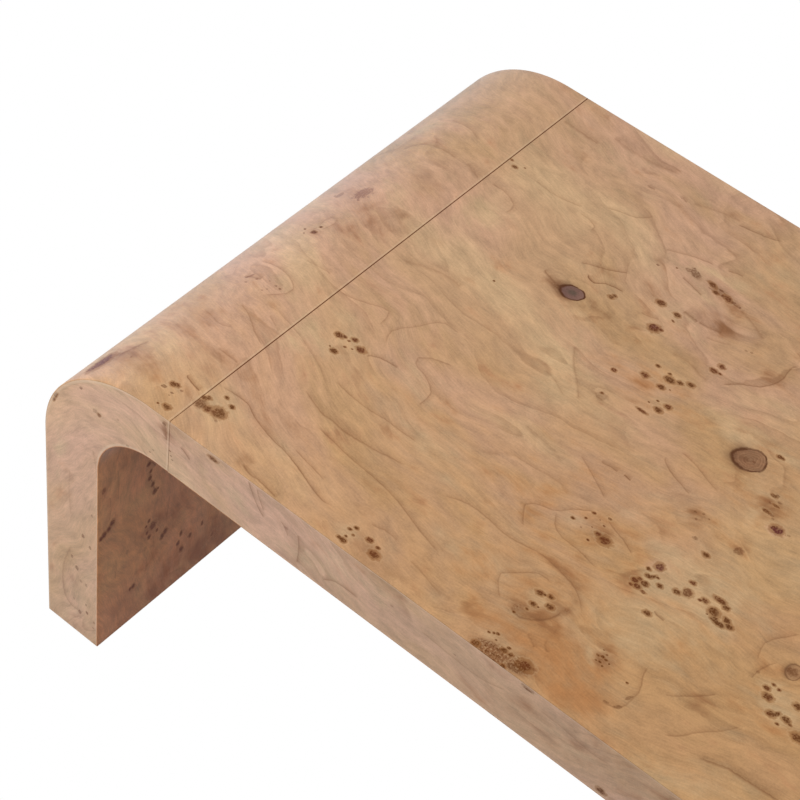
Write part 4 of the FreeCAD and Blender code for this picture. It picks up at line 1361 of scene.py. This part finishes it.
# the ground of the wood: soft zones of colour, the patches laid on the leaf, fibres, and the figure's folds
groundLook = {
    "figureDark": 0.05,      # the figure rises in dark patches and sinks in pale ones
    "figurePale": 0.03,
    "waveScale": 80.0,
    "wave": 0.016,
    "folds": 9.0,
    "foldSharp": 6,
    "foldEnd": (1.0, 0.95),
    "foldPlace": 6.0,
    "foldBroken": 0.5,
    "foldShow": (0.70, 0.92),
    "hairs": 4.3,
    "hairSharp": 2,
    "hairEnd": (1.0, 0.85),
    "hairShare": 0.07,
    "tornZone": 0.5,         # what tears the edges of the patches
    "tornCloud": 1.3,
    "tornBroken": 0.8,
    "tornFold": 0.06,
    "rose": (0.38, 0.66),
    "olive": (0.50, 0.70),
    "oliveShare": 0.6,
    "straw": (0.48, 0.28),
    "strawShare": 0.55,
    "gold": (-0.42, 0.30),   # the ground turns golden along the table and toward the front
    "goldTorn": 0.3,
    "goldShare": 0.54,
    "goldPastSeam": 0.12,    # and less so past the right seam
    "goldLoss": 0.6,
    "patches": {             # a patch's colour, how torn it is, its soft step and its share
        "rosy": ("rose", 0.6, (0.05, 0.6), 0.8),
        "warm": ("amber", 0.9, (0.10, 0.95), 0.85),
        "pale": ("straw", -0.8, (0.08, 0.85), 0.85),
        "dark": ("umber", 0.8, (0.10, 0.80), 0.85),
    },
    "fibreShade": 0.30,
    "speckShade": 0.26,
    "cloudShade": 0.42,
    "foldShade": -0.05,
    "curlMottle": 0.7,
    "brokenMottle": 0.3,
    "pitted": (0.45, 0.75),  # the darkest patches are peppered with pits and pale flecks
    "pits": (0.54, 0.66),
    "pitShare": 0.7,
    "flecks": (0.45, 0.33),
    "fleckShare": 0.4,
}


# level lines of a stretched field, lifted round the knots so that they close into loops
def figureLevels(face):
    field = grainNoise(face["bent"], course["figure"])
    field = field + face["dark"] * groundLook["figureDark"] - face["pale"] * groundLook["figurePale"]
    if "knot" in face:
        lift = eased(face["knot"], *knotLook["lift"]) * eased(face["knotStrength"], *knotLook["liftFrom"])
        field = field + lift * knotLook["liftHeight"]
    wave = noise(face["tree"], face["flat"], groundLook["waveScale"]) * groundLook["wave"]
    return (field + wave) * groundLook["folds"]


def paintGround(face, look):
    broken, cloud, speck, zoneTwo = (face[key] for key in ("broken", "cloud", "speck", "zoneTwo"))
    levels = figureLevels(face)
    ring = levels.math("FRACT")
    ground = mixed(face["tree"], eased(face["zone"], *groundLook["rose"]), burl["sand"], burl["rose"])
    ground = over(ground, "olive", eased(zoneTwo, *groundLook["olive"]) * groundLook["oliveShare"])
    ground = over(ground, "straw", eased(zoneTwo, *groundLook["straw"]) * groundLook["strawShare"])

    torn = weighed(
        (zoneTwo, groundLook["tornZone"]), (cloud, groundLook["tornCloud"]),
        (broken, groundLook["tornBroken"]), (ring, groundLook["tornFold"]),
    )
    golden = face["along"] - face["across"] + torn * groundLook["goldTorn"]
    golden = eased(golden, *groundLook["gold"]) * look["gold"]
    beforeSeam = eased(face["along"], seamX + groundLook["goldPastSeam"], seamX)
    golden = golden * partly(beforeSeam, groundLook["goldLoss"])
    ground = over(ground, "gold", golden * groundLook["goldShare"])
    for kind, (colour, tear, step, share) in groundLook["patches"].items():
        ground = over(ground, colour, eased(face[kind] + torn * tear, *step) * share)

    shade = weighed(
        (face["fibre"], groundLook["fibreShade"]), (speck, groundLook["speckShade"]),
        (cloud, groundLook["cloudShade"]), (ring, groundLook["foldShade"]),
    )
    mottle = face["curl"] * groundLook["curlMottle"] + broken * groundLook["brokenMottle"] - 0.5
    ground = brightened(ground, shade * look["contrast"] + mottle * look["mottle"] + 1)

    fold = (ring ** groundLook["foldSharp"]) * eased(ring, *groundLook["foldEnd"])
    shown = noise(face["tree"], face["flat"], groundLook["foldPlace"]) + broken * groundLook["foldBroken"]
    fold = fold * eased(shown, *groundLook["foldShow"]) * look["foldDepth"]
    hairRing = (levels * groundLook["hairs"]).math("FRACT")
    hair = (hairRing ** groundLook["hairSharp"]) * eased(hairRing, *groundLook["hairEnd"])
    ground = over(ground, "grainLine", fold + hair * groundLook["hairShare"])

    pitted = eased(face["dark"], *groundLook["pitted"])
    ground = over(ground, "eyeHeart", pitted * eased(speck, *groundLook["pits"]) * groundLook["pitShare"])
    return over(ground, "straw", pitted * eased(speck, *groundLook["flecks"]) * groundLook["fleckShare"])


def burlVeneer(name, look, hasLeaf=True):
    material, tree = newFinish(name)
    face = readFace(tree, hasLeaf)
    if hasLeaf:
        addKnotPlace(face)
    ground = paintGround(face, look)
    if hasLeaf:
        ground = paintLines(face, ground)
        ground = paintKnots(face, ground)
        ground, pores = paintEyes(face, ground)
        ground = paintJoints(face, ground, look)
    else:
        ground, pores = paintPores(face, ground)
    # the leaf's overall tint; on the edge, inner and under leaves it also holds painted light and shade
    ground = mixed(tree, 1.0, ground, look["tint"], "MULTIPLY")

    height = face["fibre"] * burl["fibreHeight"] + face["speck"] * burl["speckHeight"]
    bump = {"Strength": burl["bump"], "Distance": burl["bumpHeight"], "Height": height}
    gloss = burl["roughness"] + weighed((face["fibre"], burl["fibreRoughness"]))
    finishWith(tree, {
        "Base Color": ground, "Roughness": gloss + pores * burl["poreRoughness"],
        "Normal": Wire.add(tree, "Bump", inputs=bump), "Specular IOR Level": burl["shine"],
        "Sheen Weight": burl["sheen"], "Sheen Roughness": burl["sheenSpread"],
        "Sheen Tint": burl["sheenTint"],
    })
    return material


burlOuter = burlVeneer("burlOuter", leafLook["outer"])
burlEdge = burlVeneer("burlEdge", leafLook["edge"])
burlInner = burlVeneer("burlInner", leafLook["inner"])
burlUnder = burlVeneer("burlUnder", leafLook["under"], hasLeaf=False)
print("burl finishes mixed")


def addVeneers():
    outX, outZ = legLow.x, topHigh.z
    topRows = sheetRows(levelLine(topHigh.z), levelLine(topLow.z))
    layVeneer("top_sheet", "top_veneer", topRows, "outer", burlOuter, True)
    edgeDepths = {"front": (frontY, frontY + veneer), "back": (backY, backY - veneer)}
    for place, depths in edgeDepths.items():
        rows = stripRows(levelLine(topLow.z), levelLine(undersideZ + veneer), *depths)
        layVeneer(f"top_{place}_strip", f"top_{place}_edge", rows, place, burlEdge, False)
    for side, mirror in (("left", 1), ("right", -1)):
        outside = legLine(outX, outZ, shell["outerRadius"], mirror)
        outsideBack = legLine(outX + veneer, outZ - veneer, shell["outerRadius"] - veneer, mirror)
        inside = legLine(legInsideX, undersideZ, shell["innerRadius"], mirror)
        insideBack = legLine(legInsideX - veneer, undersideZ + veneer, shell["innerRadius"] + veneer, mirror)
        name = f"{side}_leg"
        outerRows, innerRows = sheetRows(outside, outsideBack), sheetRows(inside, insideBack)
        layVeneer(f"{name}_outer_sheet", f"{name}_outer_veneer", outerRows, "outer", burlOuter, True)
        layVeneer(f"{name}_inner_sheet", f"{name}_inner_veneer", innerRows, "inner", burlInner, True)
        for place, depths in edgeDepths.items():
            rows = stripRows(outsideBack, insideBack, *depths)
            layVeneer(f"{name}_{place}_strip", f"{name}_{place}_edge", rows, place, burlEdge, False)


addVeneers()
print("veneers laid")


# the woods, metals and plastic behind the veneer: light and dark tone, features to the metre along and across
# the grain, depth of the flecks
plainLook = {
    "panel_board": {
        "tones": (tone(184, 154, 118), tone(142, 110, 76)), "grain": (380.0, 380.0), "fleck": 0.5,
        "roughness": 0.85, "metallic": 0.0,
    },
    "frame_timber": {
        "tones": (tone(218, 188, 142), tone(182, 138, 90)), "grain": (5.0, 150.0), "fleck": 0.12,
        "roughness": 0.75, "metallic": 0.0,
    },
    "bent_plywood": {
        "tones": (tone(212, 180, 134), tone(170, 126, 82)), "grain": (6.0, 320.0), "fleck": 0.15,
        "roughness": 0.72, "metallic": 0.0,
    },
    "dowel_beech": {
        "tones": (tone(214, 178, 136), tone(184, 138, 96)), "grain": (40.0, 520.0), "fleck": 0.2,
        "roughness": 0.6, "metallic": 0.0,
    },
    "cast_zinc": {
        "tones": (tone(178, 179, 182), tone(148, 149, 153)), "grain": (260.0, 260.0), "fleck": 0.12,
        "roughness": 0.42, "metallic": 1.0,
    },
    "bolt_steel": {
        "tones": (tone(190, 191, 196), tone(158, 160, 168)), "grain": (90.0, 900.0), "fleck": 0.08,
        "roughness": 0.3, "metallic": 1.0,
    },
    "insert_brass": {
        "tones": (tone(206, 170, 98), tone(176, 136, 66)), "grain": (90.0, 900.0), "fleck": 0.1,
        "roughness": 0.34, "metallic": 1.0,
    },
    "pad_nylon": {
        "tones": (tone(44, 44, 46), tone(30, 30, 32)), "grain": (240.0, 240.0), "fleck": 0.4,
        "roughness": 0.62, "metallic": 0.0,
    },
}
plainGrain = {
    "drift": 12.0,
    "driftReach": (0.02, 0.02, 0.02),
    "rough": 0.6,
    "step": (0.30, 0.70),
    "flecks": 1100.0,
    "bump": 0.15,
    "bumpHeight": 0.0003,
    "grainRoughness": 0.16,
    "fleckRoughness": 0.12,
}


# the grain runs along the piece's longest side
def plainFinish(slot, axis):
    look = plainLook[slot]
    material, tree = newFinish(f"{slot}_{axis}")
    place = Wire.add(tree, "TexCoord", output="Object")
    stretch = [look["grain"][1]] * 3
    stretch[axis] = look["grain"][0]
    drift = noise(tree, place, plainGrain["drift"], flat=False, output="Color")
    bent = vector(tree, "MULTIPLY_ADD", drift, plainGrain["driftReach"], place)
    drawn = vector(tree, "MULTIPLY", bent, stretch)
    grain = noise(tree, drawn, 1.0, detail=4.0, rough=plainGrain["rough"], flat=False)
    fleck = noise(tree, place, plainGrain["flecks"], flat=False)
    colour = mixed(tree, eased(grain, *plainGrain["step"]), *look["tones"])
    colour = brightened(colour, weighed((fleck, look["fleck"])) + 1)
    bump = {"Strength": plainGrain["bump"], "Distance": plainGrain["bumpHeight"], "Height": grain}
    varied = weighed((grain, plainGrain["grainRoughness"]), (fleck, plainGrain["fleckRoughness"]))
    finishWith(tree, {
        "Base Color": colour, "Roughness": look["roughness"] + varied, "Metallic": look["metallic"],
        "Normal": Wire.add(tree, "Bump", inputs=bump),
    })
    return material


def finishNodes():
    made = {}
    for piece in frame["record"]["subparts"]:
        low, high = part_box(piece["node"])
        size = list(high - low)
        key = piece["material_slot"], size.index(max(size))
        if key[0] in plainLook and key not in made:
            made[key] = plainFinish(*key)
        for place in frame["nodes"][piece["node"]].material_slots:
            place.material = made.get(key, burlUnder)


finishNodes()
print("pieces behind the veneer finished")


studio = {
    "floorSize": 12.0,
    "floorDrop": 0.0004,
    "skyTop": 0.87,
    "skyLow": 0.14,
    "skyStep": (-0.25, 0.35),    # heights over which the sky brightens
    "keyPlace": Vector((-1.25, -0.95, 0.8)),
    "keySize": 0.8,
    "keyPower": 8.5,
    "keyColour": (1, 1, 1),
    "aim": Vector((-0.2, 0, 0.35)),
    "coolPlace": Vector((-1.5, 0.45, 0.55)),
    "coolSize": 1.0,
    "coolPower": 4.0,
    "coolColour": (0.25, 0.50, 1.0),
}


def addStage():
    data = bpy.data.meshes.new("floor")
    reach = studio["floorSize"] / 2
    corners = [(-reach, -reach), (reach, -reach), (reach, reach), (-reach, reach)]
    data.from_pydata([(x, y, -studio["floorDrop"]) for x, y in corners], [], [(0, 1, 2, 3)])
    material, tree = newFinish("paleFloor")
    glow = Wire.add(tree, "Emission", inputs={"Color": (1, 1, 1, 1), "Strength": 1.0})
    clear = Wire.add(tree, "BsdfTransparent")
    below = Wire.add(tree, "NewGeometry", output="Backfacing")
    seen = Wire.add(tree, "MixShader", inputs={0: below, 1: glow, 2: clear})
    Wire.add(tree, "OutputMaterial", inputs={"Surface": seen})
    data.materials.append(material)
    floor = bpy.data.objects.new("floor", data)
    bpy.context.scene.collection.objects.link(floor)
    floor.visible_diffuse = False
    floor.visible_shadow = False


def addLamp(name, place, size, power, colour):
    data = bpy.data.lights.new(name, "AREA")
    data.size = size
    data.energy = power
    data.color = colour
    lamp = bpy.data.objects.new(name, data)
    lamp.visible_camera = False
    bpy.context.scene.collection.objects.link(lamp)
    turn = (studio["aim"] - place).to_track_quat("-Z", "Y").to_matrix().to_4x4()
    lamp.matrix_world = Matrix.Translation(place) @ turn


def addLight():
    world = bpy.data.worlds.new("softStudio")
    world.use_nodes = True
    tree = world.node_tree
    tree.nodes.clear()
    direction = Wire.add(tree, "TexCoord", output="Generated")
    share = eased(parts(direction)[2], *studio["skyStep"])
    strength = share * (studio["skyTop"] - studio["skyLow"]) + studio["skyLow"]
    glow = Wire.add(tree, "Background", inputs={"Color": (1, 1, 1, 1), "Strength": strength})
    Wire.add(tree, "OutputWorld", inputs={"Surface": glow})
    bpy.context.scene.world = world
    addLamp("key", studio["keyPlace"], studio["keySize"], studio["keyPower"], studio["keyColour"])
    addLamp("cool", studio["coolPlace"], studio["coolSize"], studio["coolPower"], studio["coolColour"])
    bpy.context.scene.view_settings.view_transform = "Standard"


addStage()
addLight()
print("stage and light set")
